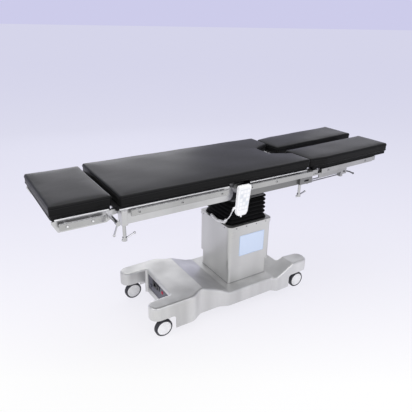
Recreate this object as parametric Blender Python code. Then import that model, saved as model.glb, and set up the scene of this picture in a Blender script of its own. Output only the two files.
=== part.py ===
# Operating table with a stainless base, a lifting column and a sectioned, padded top.
# Metres, +Z up, +X towards the foot end. The origin is on the floor under the middle.
import math
import bpy
import bmesh
from mathutils import Matrix, Vector

for item in list(bpy.data.objects):
    bpy.data.objects.remove(item, do_unlink=True)

# Driving dimensions.
# gap is the play between pieces that seat on one another.
gap = 0.0003
# run is the play between a pin and its hole, or a shaft and its bore.
run = 0.0003

# Padded top, along X.
head_pad_x0 = -1.031
head_pad_len = 0.268
head_gap = 0.024
main_pad_x0 = head_pad_x0 + head_pad_len + head_gap
main_pad_len = 1.108
main_pad_x1 = main_pad_x0 + main_pad_len
pad_width = 0.540
head_pad_width = pad_width - 0.058
leg_gap = 0.020
leg_pad_x0 = main_pad_x1 + leg_gap
leg_pad_len = 0.643
leg_pad_x1 = leg_pad_x0 + leg_pad_len
leg_pad_y0 = 0.0345
leg_pad_width = pad_width / 2 - 0.042
pad_thick = 0.048
pad_corner = 0.012
pad_edge = 0.007
pad_top = 0.865
pad_bottom = pad_top - pad_thick
board_thick = 0.0164
board_inset = 0.006
leg_board_start = 0.030

# Cut-out at the foot end of the seat.
cut_depth = 0.120
cut_mouth_half = 0.120
cut_inner_half = 0.058

# Frame.
frame_top = pad_bottom - board_thick - 2 * gap
channel_depth = 0.072
frame_bottom = frame_top - channel_depth
half_w = pad_width / 2
channel_face = half_w - 0.008
sheet = 0.003
flange = 0.028
back_x0 = -0.742
back_x1 = -0.146
seat_x0 = -0.060
seat_x1 = leg_pad_x0

# Accessory rails.
rail_h = 0.0286
rail_t = 0.0095
rail_standoff = 0.015
rail_z0 = frame_top - 0.0295
screw_head_r = 0.0075
screw_head_t = 0.0022

# Joints.
column_x = 0.069
tilt_z = frame_top - 0.105
back_pivot_x = -0.106
back_pivot_z = frame_top - 0.015
fold_half = 0.060
head_pivot_x = -0.751
head_pivot_z = frame_top - 0.015
leg_pivot_x = leg_pad_x0 + 0.011
leg_pivot_z = frame_top - 0.024
abduct_x = leg_pad_x0 + 0.047
abduct_y = half_w - 0.035
leg_rise_deg = 1.3
leg_drop = 0.0085

# Column.
ledge_z = 0.1345
rim_hx = 0.152
rim_hy = 0.160
upper_hx = 0.148
upper_hy = 0.156
lower_inset = 0.010
cover_sheet = 0.002
rim_z1 = ledge_z + 0.661 * (tilt_z - ledge_z)
rim_z0 = rim_z1 - 0.020
upper_z0 = ledge_z + 0.1945 * (tilt_z - ledge_z)
lower_lap = 0.050
carriage_half = 0.062
carriage_wall = 0.005
head_plate_z0 = tilt_z - 0.055
head_plate_t = 0.010

# Base.
hump_z = 0.205
hump_x1 = -0.272
ledge_x0 = -0.106
ledge_x1 = 0.214
rise_x1 = 0.344
wall_bottom = 0.047
base_sheet = 0.0025
base_round = 0.012
plate_thick = 0.010
arch_z = 0.125

# Casters.
wheel_r = 0.050
tyre_section = 0.0095
wheel_w = 0.030
trail = 0.018
caster_y = 0.203
head_swivel_x = -0.540
foot_swivel_x = 0.396
axle_r = 0.005

leg_up = math.radians(leg_rise_deg)


# Materials.
def material(name, colour, roughness, metallic):
    made = bpy.data.materials.new(name)
    made.use_nodes = True
    shader = made.node_tree.nodes["Principled BSDF"]
    shader.inputs["Base Color"].default_value = (colour[0], colour[1], colour[2], 1.0)
    shader.inputs["Roughness"].default_value = roughness
    shader.inputs["Metallic"].default_value = metallic
    return made


steel = material("brushed_stainless", (0.62, 0.62, 0.60), 0.32, 1.0)
bright = material("bright_stainless", (0.74, 0.74, 0.73), 0.22, 1.0)
dark_steel = material("plated_mechanism", (0.20, 0.20, 0.21), 0.40, 0.8)
vinyl = material("black_upholstery", (0.030, 0.030, 0.032), 0.42, 0.0)
board_black = material("black_board", (0.020, 0.020, 0.021), 0.50, 0.0)
rubber = material("dark_rubber", (0.035, 0.035, 0.040), 0.65, 0.0)
hub_white = material("white_hub", (0.82, 0.83, 0.83), 0.35, 0.0)
fork_dark = material("dark_fork", (0.09, 0.09, 0.11), 0.45, 0.3)
bellows_black = material("bellows_black", (0.025, 0.025, 0.027), 0.60, 0.0)
handset_white = material("handset_white", (0.80, 0.81, 0.82), 0.40, 0.0)
cord_white = material("cord_white", (0.75, 0.76, 0.78), 0.45, 0.0)
panel_grey = material("panel_grey", (0.42, 0.43, 0.45), 0.45, 0.5)
socket_black = material("socket_black", (0.020, 0.020, 0.022), 0.40, 0.0)
lamp_red = material("lamp_red", (0.60, 0.03, 0.06), 0.30, 0.0)


# Mesh helpers.
def finish(name, bm, made, smooth_deg=None):
    bmesh.ops.remove_doubles(bm, verts=bm.verts, dist=1e-6)
    bmesh.ops.recalc_face_normals(bm, faces=bm.faces)
    data = bpy.data.meshes.new(name)
    bm.to_mesh(data)
    bm.free()
    obj = bpy.data.objects.new(name, data)
    bpy.context.collection.objects.link(obj)
    if made is not None:
        data.materials.append(made)
    if smooth_deg is not None:
        for face in data.polygons:
            face.use_smooth = True
        data.set_sharp_from_angle(angle=math.radians(smooth_deg))
    return obj


def box(x0, x1, y0, y1, z0, z1):
    bm = bmesh.new()
    low = (min(x0, x1), min(y0, y1), min(z0, z1))
    high = (max(x0, x1), max(y0, y1), max(z0, z1))
    bmesh.ops.create_cube(bm, size=1.0)
    for v in bm.verts:
        for k in range(3):
            v.co[k] = low[k] if v.co[k] < 0 else high[k]
    return bm


def chamfered(x0, x1, y0, y1, z0, z1, size):
    bm = box(x0, x1, y0, y1, z0, z1)
    bmesh.ops.bevel(bm, geom=list(bm.edges), offset=size, segments=1, affect="EDGES")
    return bm


def rod(start, end, radius, sides=16):
    start = Vector(start)
    end = Vector(end)
    bm = bmesh.new()
    bmesh.ops.create_cone(
        bm, cap_ends=True, segments=sides, radius1=radius, radius2=radius,
        depth=(end - start).length)
    turn = Vector((0, 0, 1)).rotation_difference((end - start).normalized())
    place = Matrix.Translation((start + end) / 2) @ turn.to_matrix().to_4x4()
    bmesh.ops.transform(bm, matrix=place, verts=bm.verts)
    return bm


def ball(centre, radius, sides=8, rings=5):
    bm = bmesh.new()
    bmesh.ops.create_uvsphere(bm, u_segments=sides, v_segments=rings, radius=radius)
    bmesh.ops.translate(bm, vec=Vector(centre), verts=bm.verts)
    return bm


def to_axis(axis, a, b, c):
    # a and b are the outline's coordinates, c runs along the extrusion axis.
    if axis == "x":
        return (c, a, b)
    if axis == "y":
        return (a, c, b)
    return (a, b, c)


def prism(outline, axis, low, high):
    bm = bmesh.new()
    first = [bm.verts.new(to_axis(axis, a, b, low)) for a, b in outline]
    last = [bm.verts.new(to_axis(axis, a, b, high)) for a, b in outline]
    bm.faces.new(first)
    bm.faces.new(last)
    count = len(outline)
    for i in range(count):
        j = (i + 1) % count
        bm.faces.new((first[i], first[j], last[j], last[i]))
    bmesh.ops.recalc_face_normals(bm, faces=bm.faces)
    return bm


def rounded(corners, arc_deg=15.0):
    # Each corner is (a, b, radius); the result is the outline with arcs at the corners.
    points = []
    count = len(corners)
    for i in range(count):
        a, b, radius = corners[i]
        here = Vector((a, b))
        before = Vector(corners[i - 1][:2])
        after = Vector(corners[(i + 1) % count][:2])
        if radius <= 0:
            points.append((here.x, here.y))
            continue
        to_before = (before - here).normalized()
        to_after = (after - here).normalized()
        corner = to_before.angle(to_after)
        reach = radius / math.tan(corner / 2)
        start = here + to_before * reach
        end = here + to_after * reach
        middle = here + (to_before + to_after).normalized() * (radius / math.sin(corner / 2))
        a0 = math.atan2(start.y - middle.y, start.x - middle.x)
        a1 = math.atan2(end.y - middle.y, end.x - middle.x)
        sweep = (a1 - a0 + math.pi) % (2 * math.pi) - math.pi
        steps = max(1, math.ceil(abs(math.degrees(sweep)) / arc_deg))
        for k in range(steps + 1):
            t = a0 + sweep * k / steps
            points.append((middle.x + radius * math.cos(t), middle.y + radius * math.sin(t)))
    return points


def mirrored_outline(half):
    # half runs on the +Y side; the -Y side is its mirror image, in reverse order.
    return list(half) + [(a, -b, r) for a, b, r in reversed(half)]


def rectangle(x0, x1, y0, y1, radius):
    return [(x0, y0, radius), (x1, y0, radius), (x1, y1, radius), (x0, y1, radius)]


def area(outline):
    total = 0.0
    for i in range(len(outline)):
        a, b = outline[i - 1], outline[i]
        total += a[0] * b[1] - b[0] * a[1]
    return total / 2


def inset(outline, distance):
    # Moves each edge inwards by the distance and keeps the number of points.
    side = 1.0 if area(outline) > 0 else -1.0
    moved = []
    count = len(outline)
    for i in range(count):
        here = Vector(outline[i])
        u = (here - Vector(outline[i - 1])).normalized()
        w = (Vector(outline[(i + 1) % count]) - here).normalized()
        nu = Vector((-u.y, u.x)) * side
        nw = Vector((-w.y, w.x)) * side
        middle = (nu + nw).normalized()
        step = distance / max(0.3, middle.dot(nu))
        moved.append((here.x + middle.x * step, here.y + middle.y * step))
    return moved


def stack(outline, levels):
    # levels is a list of (z, inset distance); neighbouring rings are joined, both ends capped.
    bm = bmesh.new()
    rings = []
    for z, distance in levels:
        shape = inset(outline, distance) if distance else outline
        rings.append([bm.verts.new((a, b, z)) for a, b in shape])
    count = len(outline)
    for low, high in zip(rings, rings[1:]):
        for i in range(count):
            j = (i + 1) % count
            bm.faces.new((low[i], low[j], high[j], high[i]))
    bm.faces.new(rings[0])
    bm.faces.new(rings[-1])
    bmesh.ops.recalc_face_normals(bm, faces=bm.faces)
    return bm


def round_levels(z0, z1, low_r, high_r, steps):
    # Rings of a slab with its lower and upper edges rounded.
    levels = []
    for k in range(steps + 1):
        t = math.pi / 2 * k / steps
        levels.append((z0 + low_r * (1 - math.sin(t)), low_r * (1 - math.cos(t))))
    levels = sorted(levels)
    top = []
    for k in range(steps + 1):
        t = math.pi / 2 * k / steps
        top.append((z1 - high_r + high_r * math.sin(t), high_r * (1 - math.cos(t))))
    return levels + sorted(top)


def cushion(name, corners, z0, z1):
    outline = rounded(corners, 22.5)
    bm = stack(outline, round_levels(z0, z1, 0.004, pad_edge, 3))
    return finish(name, bm, vinyl, 40)


def revolve(profile, sides, centre, axis):
    # profile is a closed loop of (radius, along) points.
    bm = bmesh.new()
    rings = []
    for k in range(sides):
        t = 2 * math.pi * k / sides
        ring = []
        for r, h in profile:
            if r < 1e-9:
                ring.append(None)
                continue
            p, q = r * math.cos(t), r * math.sin(t)
            ring.append(bm.verts.new(to_axis(axis, p, q, h)))
        rings.append(ring)
    poles = {}
    for i, (r, h) in enumerate(profile):
        if r < 1e-9:
            poles[i] = bm.verts.new(to_axis(axis, 0.0, 0.0, h))
    count = len(profile)
    for k in range(sides):
        this, following = rings[k], rings[(k + 1) % sides]
        for i in range(count):
            j = (i + 1) % count
            corners = []
            for v in (this[i] or poles.get(i), this[j] or poles.get(j),
                      following[j] or poles.get(j), following[i] or poles.get(i)):
                if v is not None and v not in corners:
                    corners.append(v)
            if len(corners) > 2:
                bm.faces.new(corners)
    bmesh.ops.translate(bm, vec=Vector(centre), verts=bm.verts)
    bmesh.ops.recalc_face_normals(bm, faces=bm.faces)
    return bm


def combine(name, first, steps, made, smooth_deg=None):
    # steps is a list of ("UNION" or "DIFFERENCE", mesh); each becomes a hidden cutter.
    body = finish(name, first, made, smooth_deg)
    for k, (kind, shape) in enumerate(steps):
        cutter = finish(f"{name}_{kind.lower()}_{k}", shape, made, smooth_deg)
        cutter.hide_render = True
        cutter.hide_set(True)
        cutter.display_type = "WIRE"
        cut = body.modifiers.new(f"{kind.lower()}_{k}", "BOOLEAN")
        cut.operation = kind
        cut.solver = "EXACT"
        cut.object = cutter
        helpers.append((body, cutter))
    return body


helpers = []


def add(shape):
    return ("UNION", shape)


def cut(shape):
    return ("DIFFERENCE", shape)


def joint(name, place, parent=None):
    marker = bpy.data.objects.new(name, None)
    marker.empty_display_size = 0.05
    bpy.context.collection.objects.link(marker)
    marker.location = Vector(place)
    origins[name] = Vector(place)
    if parent is not None:
        marker.parent = bpy.data.objects[parent]
        marker.location = Vector(place) - origins[parent]
    return marker


origins = {}


def ride(obj, marker_name, turn=None, centre=None):
    # Moves the object's origin to the marker and parents it, so that it turns about the axis.
    marker = bpy.data.objects[marker_name]
    centre = origins[marker_name] if centre is None else Vector(centre)
    moving = [obj] + [c for body, c in helpers if body is obj]
    for each in moving:
        each.data.transform(Matrix.Translation(-centre))
        if turn is not None:
            each.data.transform(Matrix.Rotation(turn, 4, "Y"))
        each.parent = marker
    return obj


# Base outline, +Y half, from the head-end recess round the wheel leg to the foot-end recess.
base_half = [
    (-0.451, 0.150, 0.012),
    (-0.596, 0.150, 0.040),
    (-0.596, 0.238, 0.044),
    (-0.352, 0.240, 0.060),
    (-0.292, 0.200, 0.060),
    (-0.165, 0.200, 0.060),
    (-0.110, 0.223, 0.060),
    (0.196, 0.223, 0.012),
    (0.222, 0.249, 0.030),
    (0.475, 0.241, 0.048),
    (0.475, 0.140, 0.044),
    (0.309, 0.132, 0.015),
]
base_outline = rounded(mirrored_outline(base_half), 22.5)

# Top of the base along X: hump over the head-end wheels, ledge, rise over the foot-end wheels.
base_top = [
    (-0.700, hump_z - 0.004),
    (hump_x1, hump_z),
    (ledge_x0, ledge_z),
    (ledge_x1, ledge_z),
    (rise_x1, hump_z - 0.006),
    (0.600, hump_z - 0.012),
]


def top_height(x):
    for (xa, za), (xb, zb) in zip(base_top, base_top[1:]):
        if x <= xb:
            return za + (zb - za) * (x - xa) / (xb - xa)
    return base_top[-1][1]


def humped(outline, z0, lower, edge_round, steps, shrink=0.0):
    # A slab whose top follows the base's top line. Every face stays flat, because the
    # height depends on X alone and the faces are divided at each bend.
    bm = stack(inset(outline, shrink) if shrink else outline,
               [(z0, 0.0)] + [(1.0 - edge_round + edge_round * math.sin(math.pi / 2 * k / steps),
                               edge_round * (1 - math.cos(math.pi / 2 * k / steps)))
                              for k in range(steps + 1)])
    for bend, _ in base_top[1:-1]:
        bmesh.ops.bisect_plane(
            bm, geom=list(bm.verts) + list(bm.edges) + list(bm.faces),
            plane_co=(bend, 0, 0), plane_no=(1, 0, 0), dist=1e-6)
    for v in bm.verts:
        if v.co.z > 0.5:
            v.co.z += top_height(v.co.x) - lower - 1.0
    return bm


def arch(x0, x1, low):
    return prism(rounded([(x0, -0.02, 0.0), (x1, -0.02, 0.0), (x1, arch_z, 0.018 if low else 0.0),
                          (x0, arch_z, 0.0 if low else 0.018)], 30.0), "y", -0.30, 0.30)


base_steps = [
    cut(humped(base_outline, -0.01, base_sheet, base_round, 1, base_sheet)),
    cut(arch(-0.640, -0.462, True)),
    cut(arch(0.318, 0.520, False)),
    cut(prism(rounded(rectangle(column_x - 0.100, column_x + 0.100, -0.100, 0.100, 0.008), 45.0),
              "z", 0.10, 0.16)),
    cut(prism(rounded([(-0.132, 0.084, 0.006), (0.132, 0.084, 0.006), (0.132, 0.180, 0.006),
                       (-0.132, 0.180, 0.006)], 45.0), "x", -0.470, -0.430)),
]
base_cover = combine("base_cover", humped(base_outline, wall_bottom, 0.0, base_round, 3),
                     base_steps, steel, 30)

# Chassis plate under the cover, with the four caster seats.
plate_top = ledge_z - base_sheet - gap
plate_bottom = plate_top - plate_thick
plate_inset = base_sheet + base_round + 0.0015
chassis = combine("chassis_plate",
                  prism(inset(base_outline, plate_inset), "z", plate_bottom, plate_top), [], dark_steel)

# End panel in the recess, with the mains inlet, the rocker switch and the lamp.
panel_x = -0.4485 + gap
panel_t = 0.0025
inlet_y, inlet_z = 0.040, 0.152
switch_y, switch_z = -0.004, 0.152
lamp_y, lamp_z = -0.048, 0.150
gland_y, gland_z = 0.098, 0.118
end_panel = combine(
    "end_panel",
    prism(rounded(rectangle(-0.140, 0.140, 0.078, 0.186, 0.008), 45.0), "x", panel_x, panel_x + panel_t),
    [
        cut(box(panel_x - 0.01, panel_x + 0.01, inlet_y - 0.0242, inlet_y + 0.0242,
                inlet_z - 0.0152, inlet_z + 0.0152)),
        cut(box(panel_x - 0.01, panel_x + 0.01, switch_y - 0.0112, switch_y + 0.0112,
                switch_z - 0.0168, switch_z + 0.0168)),
        cut(rod((panel_x - 0.01, lamp_y, lamp_z), (panel_x + 0.01, lamp_y, lamp_z), 0.0113, 20)),
        add(rod((panel_x - 0.007, gland_y, gland_z), (panel_x + 0.001, gland_y, gland_z), 0.011, 16)),
    ], panel_grey)
inlet = combine(
    "power_inlet",
    box(panel_x - 0.004, panel_x - gap, inlet_y - 0.029, inlet_y + 0.029,
        inlet_z - 0.019, inlet_z + 0.019),
    [
        add(box(panel_x - 0.002, panel_x + 0.026, inlet_y - 0.0235, inlet_y + 0.0235,
                inlet_z - 0.0145, inlet_z + 0.0145)),
        cut(prism([(inlet_y - 0.012, inlet_z - 0.010), (inlet_y + 0.012, inlet_z - 0.010),
                   (inlet_y + 0.012, inlet_z + 0.005), (inlet_y + 0.007, inlet_z + 0.010),
                   (inlet_y - 0.007, inlet_z + 0.010), (inlet_y - 0.012, inlet_z + 0.005)],
                  "x", panel_x - 0.010, panel_x + 0.018)),
        add(box(panel_x - 0.001, panel_x + 0.020, inlet_y - 0.001, inlet_y + 0.001,
                inlet_z + 0.001, inlet_z + 0.005)),
        add(box(panel_x - 0.001, panel_x + 0.020, inlet_y - 0.008, inlet_y - 0.006,
                inlet_z - 0.005, inlet_z - 0.001)),
        add(box(panel_x - 0.001, panel_x + 0.020, inlet_y + 0.006, inlet_y + 0.008,
                inlet_z - 0.005, inlet_z - 0.001)),
    ], socket_black)
rocker_half_h = 0.0146
rocker_profile = [(panel_x + 0.0085, switch_z - 0.006), (panel_x + 0.0005, switch_z - rocker_half_h),
                  (panel_x - 0.0010, switch_z - rocker_half_h), (panel_x - 0.0028, switch_z),
                  (panel_x - 0.0050, switch_z + rocker_half_h), (panel_x + 0.0005, switch_z + rocker_half_h),
                  (panel_x + 0.0085, switch_z + 0.006)]
rocker = finish("rocker_switch", prism(rocker_profile, "y", switch_y - 0.0105, switch_y + 0.0105),
                socket_black)
rocker_axis = (panel_x + 0.003, switch_y, switch_z)
lamp = finish("indicator_lamp", revolve(
    [(0.0, panel_x - 0.0055), (0.0060, panel_x - 0.0048), (0.0095, panel_x - 0.0020),
     (0.0110, panel_x + 0.0005), (0.0110, panel_x + 0.0100), (0.0, panel_x + 0.0100)],
    20, (0.0, lamp_y, lamp_z), "x"), lamp_red, 40)

# Fixed guide column inside the covers: foot flange, square tube and top flange.
guide_half = 0.075
guide_wall = 0.006
guide_bore = carriage_half + run * 3


def square_prism(half_x, half_y, radius, z0, z1, arc=30.0):
    corners = rectangle(column_x - half_x, column_x + half_x, -half_y, half_y, radius)
    return prism(rounded(corners, arc), "z", z0, z1)


guide_z0 = plate_top + gap
guide_z1 = rim_z0 - gap
column_guide = combine(
    "column_guide", square_prism(guide_half, guide_half, 0.008, guide_z0, guide_z1 - 0.004),
    [
        add(square_prism(0.095, 0.095, 0.010, guide_z0, guide_z0 + 0.010)),
        add(square_prism(upper_hx - cover_sheet - 0.004, upper_hy - cover_sheet - 0.004, 0.014,
                         guide_z1 - 0.010, guide_z1)),
        cut(square_prism(guide_bore, guide_bore, 0.006, guide_z0 - 0.01, guide_z1 + 0.01)),
    ], dark_steel)

# Column covers.
corner_r = 0.022
lower_hx = upper_hx - lower_inset
lower_hy = upper_hy - lower_inset
lower_z0 = ledge_z + gap
lower_cover = combine(
    "column_lower_cover", square_prism(lower_hx, lower_hy, corner_r - 0.008, lower_z0,
                                       upper_z0 + lower_lap, 18.0),
    [
        add(square_prism(lower_hx + 0.003, lower_hy + 0.003, corner_r - 0.006, lower_z0,
                         lower_z0 + 0.003, 18.0)),
        cut(square_prism(lower_hx - cover_sheet, lower_hy - cover_sheet, corner_r - 0.010,
                         lower_z0 - 0.01, upper_z0 + lower_lap + 0.01, 18.0)),
    ], steel, 30)
upper_cover = combine(
    "column_upper_cover", square_prism(upper_hx, upper_hy, corner_r, upper_z0, rim_z0 + 0.010, 18.0),
    [
        add(square_prism(rim_hx, rim_hy, corner_r + 0.004, rim_z0, rim_z1, 18.0)),
        cut(square_prism(upper_hx - cover_sheet, upper_hy - cover_sheet, corner_r - cover_sheet,
                         upper_z0 + 0.003, rim_z0, 18.0)),
        cut(square_prism(lower_hx + gap * 2, lower_hy + gap * 2, corner_r - 0.008, upper_z0 - 0.01,
                         upper_z0 + 0.01, 18.0)),
        cut(square_prism(0.110, 0.114, 0.020, rim_z0 - 0.01, rim_z1 + 0.01, 18.0)),
    ], steel, 30)

# Casters: dark one-armed fork, black tyre, white cover disc.
caster_axes = [
    ("head_near", head_swivel_x, -caster_y),
    ("head_far", head_swivel_x, caster_y),
    ("foot_near", foot_swivel_x, -caster_y),
    ("foot_far", foot_swivel_x, caster_y),
]
hub_r = wheel_r - tyre_section
arm_in = wheel_w / 2 + 0.0025
arm_out = arm_in + 0.006
fork_top = plate_bottom - gap
for tag, cx, cy in caster_axes:
    swivel = joint(f"swivel_{tag}", (cx, cy, fork_top))
    axle = (cx + trail, cy, wheel_r)
    spin = joint(f"spin_{tag}", axle, f"swivel_{tag}")
    arm_outline = rounded([
        (cx - 0.018, fork_top - 0.012, 0.0), (cx + 0.028, fork_top - 0.012, 0.0),
        (cx + trail + 0.014, wheel_r + 0.010, 0.006), (cx + trail + 0.012, wheel_r - 0.014, 0.010),
        (cx + trail - 0.012, wheel_r - 0.014, 0.010), (cx + trail - 0.016, wheel_r + 0.014, 0.010)], 45.0)
    fork = combine(
        f"caster_fork_{tag}", rod((cx, cy, fork_top - 0.012), (cx, cy, fork_top), 0.022, 20),
        [
            add(chamfered(cx - 0.018, cx + 0.028, cy - 0.012, cy + arm_out, fork_top - 0.014,
                          fork_top - 0.006, 0.0015)),
            add(prism(arm_outline, "y", cy + arm_in, cy + arm_out)),
            add(rod((axle[0], cy - 0.009, wheel_r), (axle[0], cy + arm_out - 0.001, wheel_r), axle_r, 12)),
        ], fork_dark, 30)
    ride(fork, f"swivel_{tag}")
    w = wheel_w / 2
    hub_profile = [(axle_r + run * 2, -0.0095), (axle_r + run * 2, w - 0.002), (hub_r - gap, w - 0.002),
                   (hub_r - gap, -w + 0.002), (hub_r * 0.86, -w), (0.0, -w - 0.0015), (0.0, -0.0095)]
    hub = finish(f"caster_hub_{tag}", revolve(hub_profile, 24, axle, "y"), hub_white, 35)
    ride(hub, f"spin_{tag}")
    tyre_profile = [(hub_r, -w + 0.001), (hub_r, w - 0.001), (wheel_r - 0.005, w), (wheel_r, w - 0.006),
                    (wheel_r, -w + 0.006), (wheel_r - 0.005, -w)]
    tyre = finish(f"caster_tyre_{tag}", revolve(tyre_profile, 24, axle, "y"), rubber, 35)
    ride(tyre, f"spin_{tag}")

# Lift carriage: square tube, head plate and the two ears that carry the cross block.
joint("lift", (column_x, 0.0, rim_z1))
head_plate_z1 = head_plate_z0 + head_plate_t
ear_in = 0.088
ear_out = 0.100
ear_r = 0.020
carriage_steps = [
    add(square_prism(0.115, 0.120, 0.012, head_plate_z0, head_plate_z1)),
    cut(square_prism(carriage_half - carriage_wall, carriage_half - carriage_wall, 0.004,
                     0.20, head_plate_z0 + 0.002)),
]


def ear_outline(u, base_z, pivot_z, half, radius, arc=22.5):
    # A plate rising from base_z to a round end about the pivot.
    points = [(u - half, base_z), (u + half, base_z)]
    steps = round(180 / arc)
    for k in range(steps + 1):
        t = math.pi * k / steps
        points.append((u + radius * math.cos(t), pivot_z + radius * math.sin(t)))
    return points


for side in (-1, 1):
    near, far = column_x + side * ear_in, column_x + side * ear_out
    carriage_steps.append(add(prism(ear_outline(0.0, head_plate_z1 - 0.004, tilt_z, 0.030, ear_r),
                                    "x", min(near, far), max(near, far))))
    carriage_steps.append(cut(rod((near - side * 0.01, 0, tilt_z), (far + side * 0.01, 0, tilt_z),
                                  0.010 + run, 16)))
carriage = combine("lift_carriage", square_prism(carriage_half, carriage_half, 0.006, 0.260,
                                                 head_plate_z0 + 0.004), carriage_steps, dark_steel)
ride(carriage, "lift")

# Pleated bellows between the column rim and the carriage's head plate.
pleats = 4.5
bellows_z0 = rim_z1 + gap
bellows_z1 = head_plate_z0 - gap
bellows_skin = 0.0022
outer_hx, outer_hy = 0.130, 0.134
pleat_depth = 0.022
half_pleat = (bellows_z1 - bellows_z0) / (2 * pleats)
tip_outline = rounded(rectangle(column_x - outer_hx, column_x + outer_hx, -outer_hy, outer_hy, 0.034), 22.5)
bm = bmesh.new()
rings = []
fold_count = int(round(2 * pleats))
for k in range(fold_count + 1):
    shift = 0.0 if k % 2 == 0 else pleat_depth
    shape = inset(tip_outline, shift) if shift else tip_outline
    rings.append([bm.verts.new((a, b, bellows_z0 + k * half_pleat)) for a, b in shape])
for k in range(fold_count, -1, -1):
    shift = (0.0 if k % 2 == 0 else pleat_depth) + bellows_skin * 1.9
    shape = inset(tip_outline, shift)
    rings.append([bm.verts.new((a, b, bellows_z0 + k * half_pleat)) for a, b in shape])
for low, high in zip(rings, rings[1:] + rings[:1]):
    for i in range(len(tip_outline)):
        j = (i + 1) % len(tip_outline)
        bm.faces.new((low[i], low[j], high[j], high[i]))
bellows = finish("bellows", bm, bellows_black, 20)
ride(bellows, "lift")

# Cross block that tilts sideways on the carriage and carries the seat's tilt pins.
joint("side_tilt", (column_x, 0.0, tilt_z), "lift")
block_hx, block_hy, block_hz = 0.076, 0.082, 0.019
pin_r = 0.010
saddle = combine(
    "tilt_saddle", chamfered(column_x - block_hx, column_x + block_hx, -block_hy, block_hy,
                             tilt_z - block_hz, tilt_z + block_hz, 0.003),
    [
        add(rod((column_x - ear_out, 0, tilt_z), (column_x + ear_out, 0, tilt_z), pin_r, 16)),
        add(rod((column_x, -0.107, tilt_z), (column_x, 0.107, tilt_z), pin_r, 16)),
    ], dark_steel)
ride(saddle, "side_tilt")

# Seat frame.
joint("end_tilt", (column_x, 0.0, tilt_z), "side_tilt")
lug_in = 0.095
lug_out = 0.107
tilt_eye_r = 0.016
cross_half = 0.020
cross_at = 0.135
web_in = channel_face - sheet


def channel(x0, x1, side, round_low=0.0, at_low_x=False):
    # Web and two flanges of one side channel, as a profile run along X.
    y = [side * v for v in (channel_face, web_in, channel_face - flange)]
    outline = [(y[0], frame_bottom), (y[2], frame_bottom), (y[2], frame_bottom + sheet),
               (y[1], frame_bottom + sheet), (y[1], frame_top - sheet), (y[2], frame_top - sheet),
               (y[2], frame_top), (y[0], frame_top)]
    return prism(outline, "x", x0, x1)


def eye(x_pivot, z_pivot, x_root, z0, z1, radius, arc=30.0):
    # A flat lug from its root to a round end about the pivot, as an XZ outline.
    toward = 1.0 if x_pivot > x_root else -1.0
    points = [(x_root, z1), (x_root, z0)]
    steps = round(180 / arc)
    for k in range(steps + 1):
        t = -math.pi / 2 + math.pi * k / steps
        points.append((x_pivot + toward * radius * math.cos(t), z_pivot + radius * math.sin(t)))
    return points


seat_lug_in, seat_lug_out = half_w - 0.0478, half_w - 0.0360
back_lug_in, back_lug_out = half_w - 0.0620, seat_lug_in - gap
hinge_r = 0.0145
hinge_pin_r = 0.007
foot_block_x0 = seat_x1 - 0.091
block_out = channel_face + rail_standoff - 0.0006
foot_screw_x = seat_x1 - 0.079
foot_screw_y = half_w - 0.008
head_screw_x = -0.729
head_screw_y = half_w - 0.004
screw_r = 0.0080
leg_lug_in, leg_lug_out = half_w - 0.0640, half_w - 0.0520
leg_eye_r = 0.0120
leg_pin_r = 0.006

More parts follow.
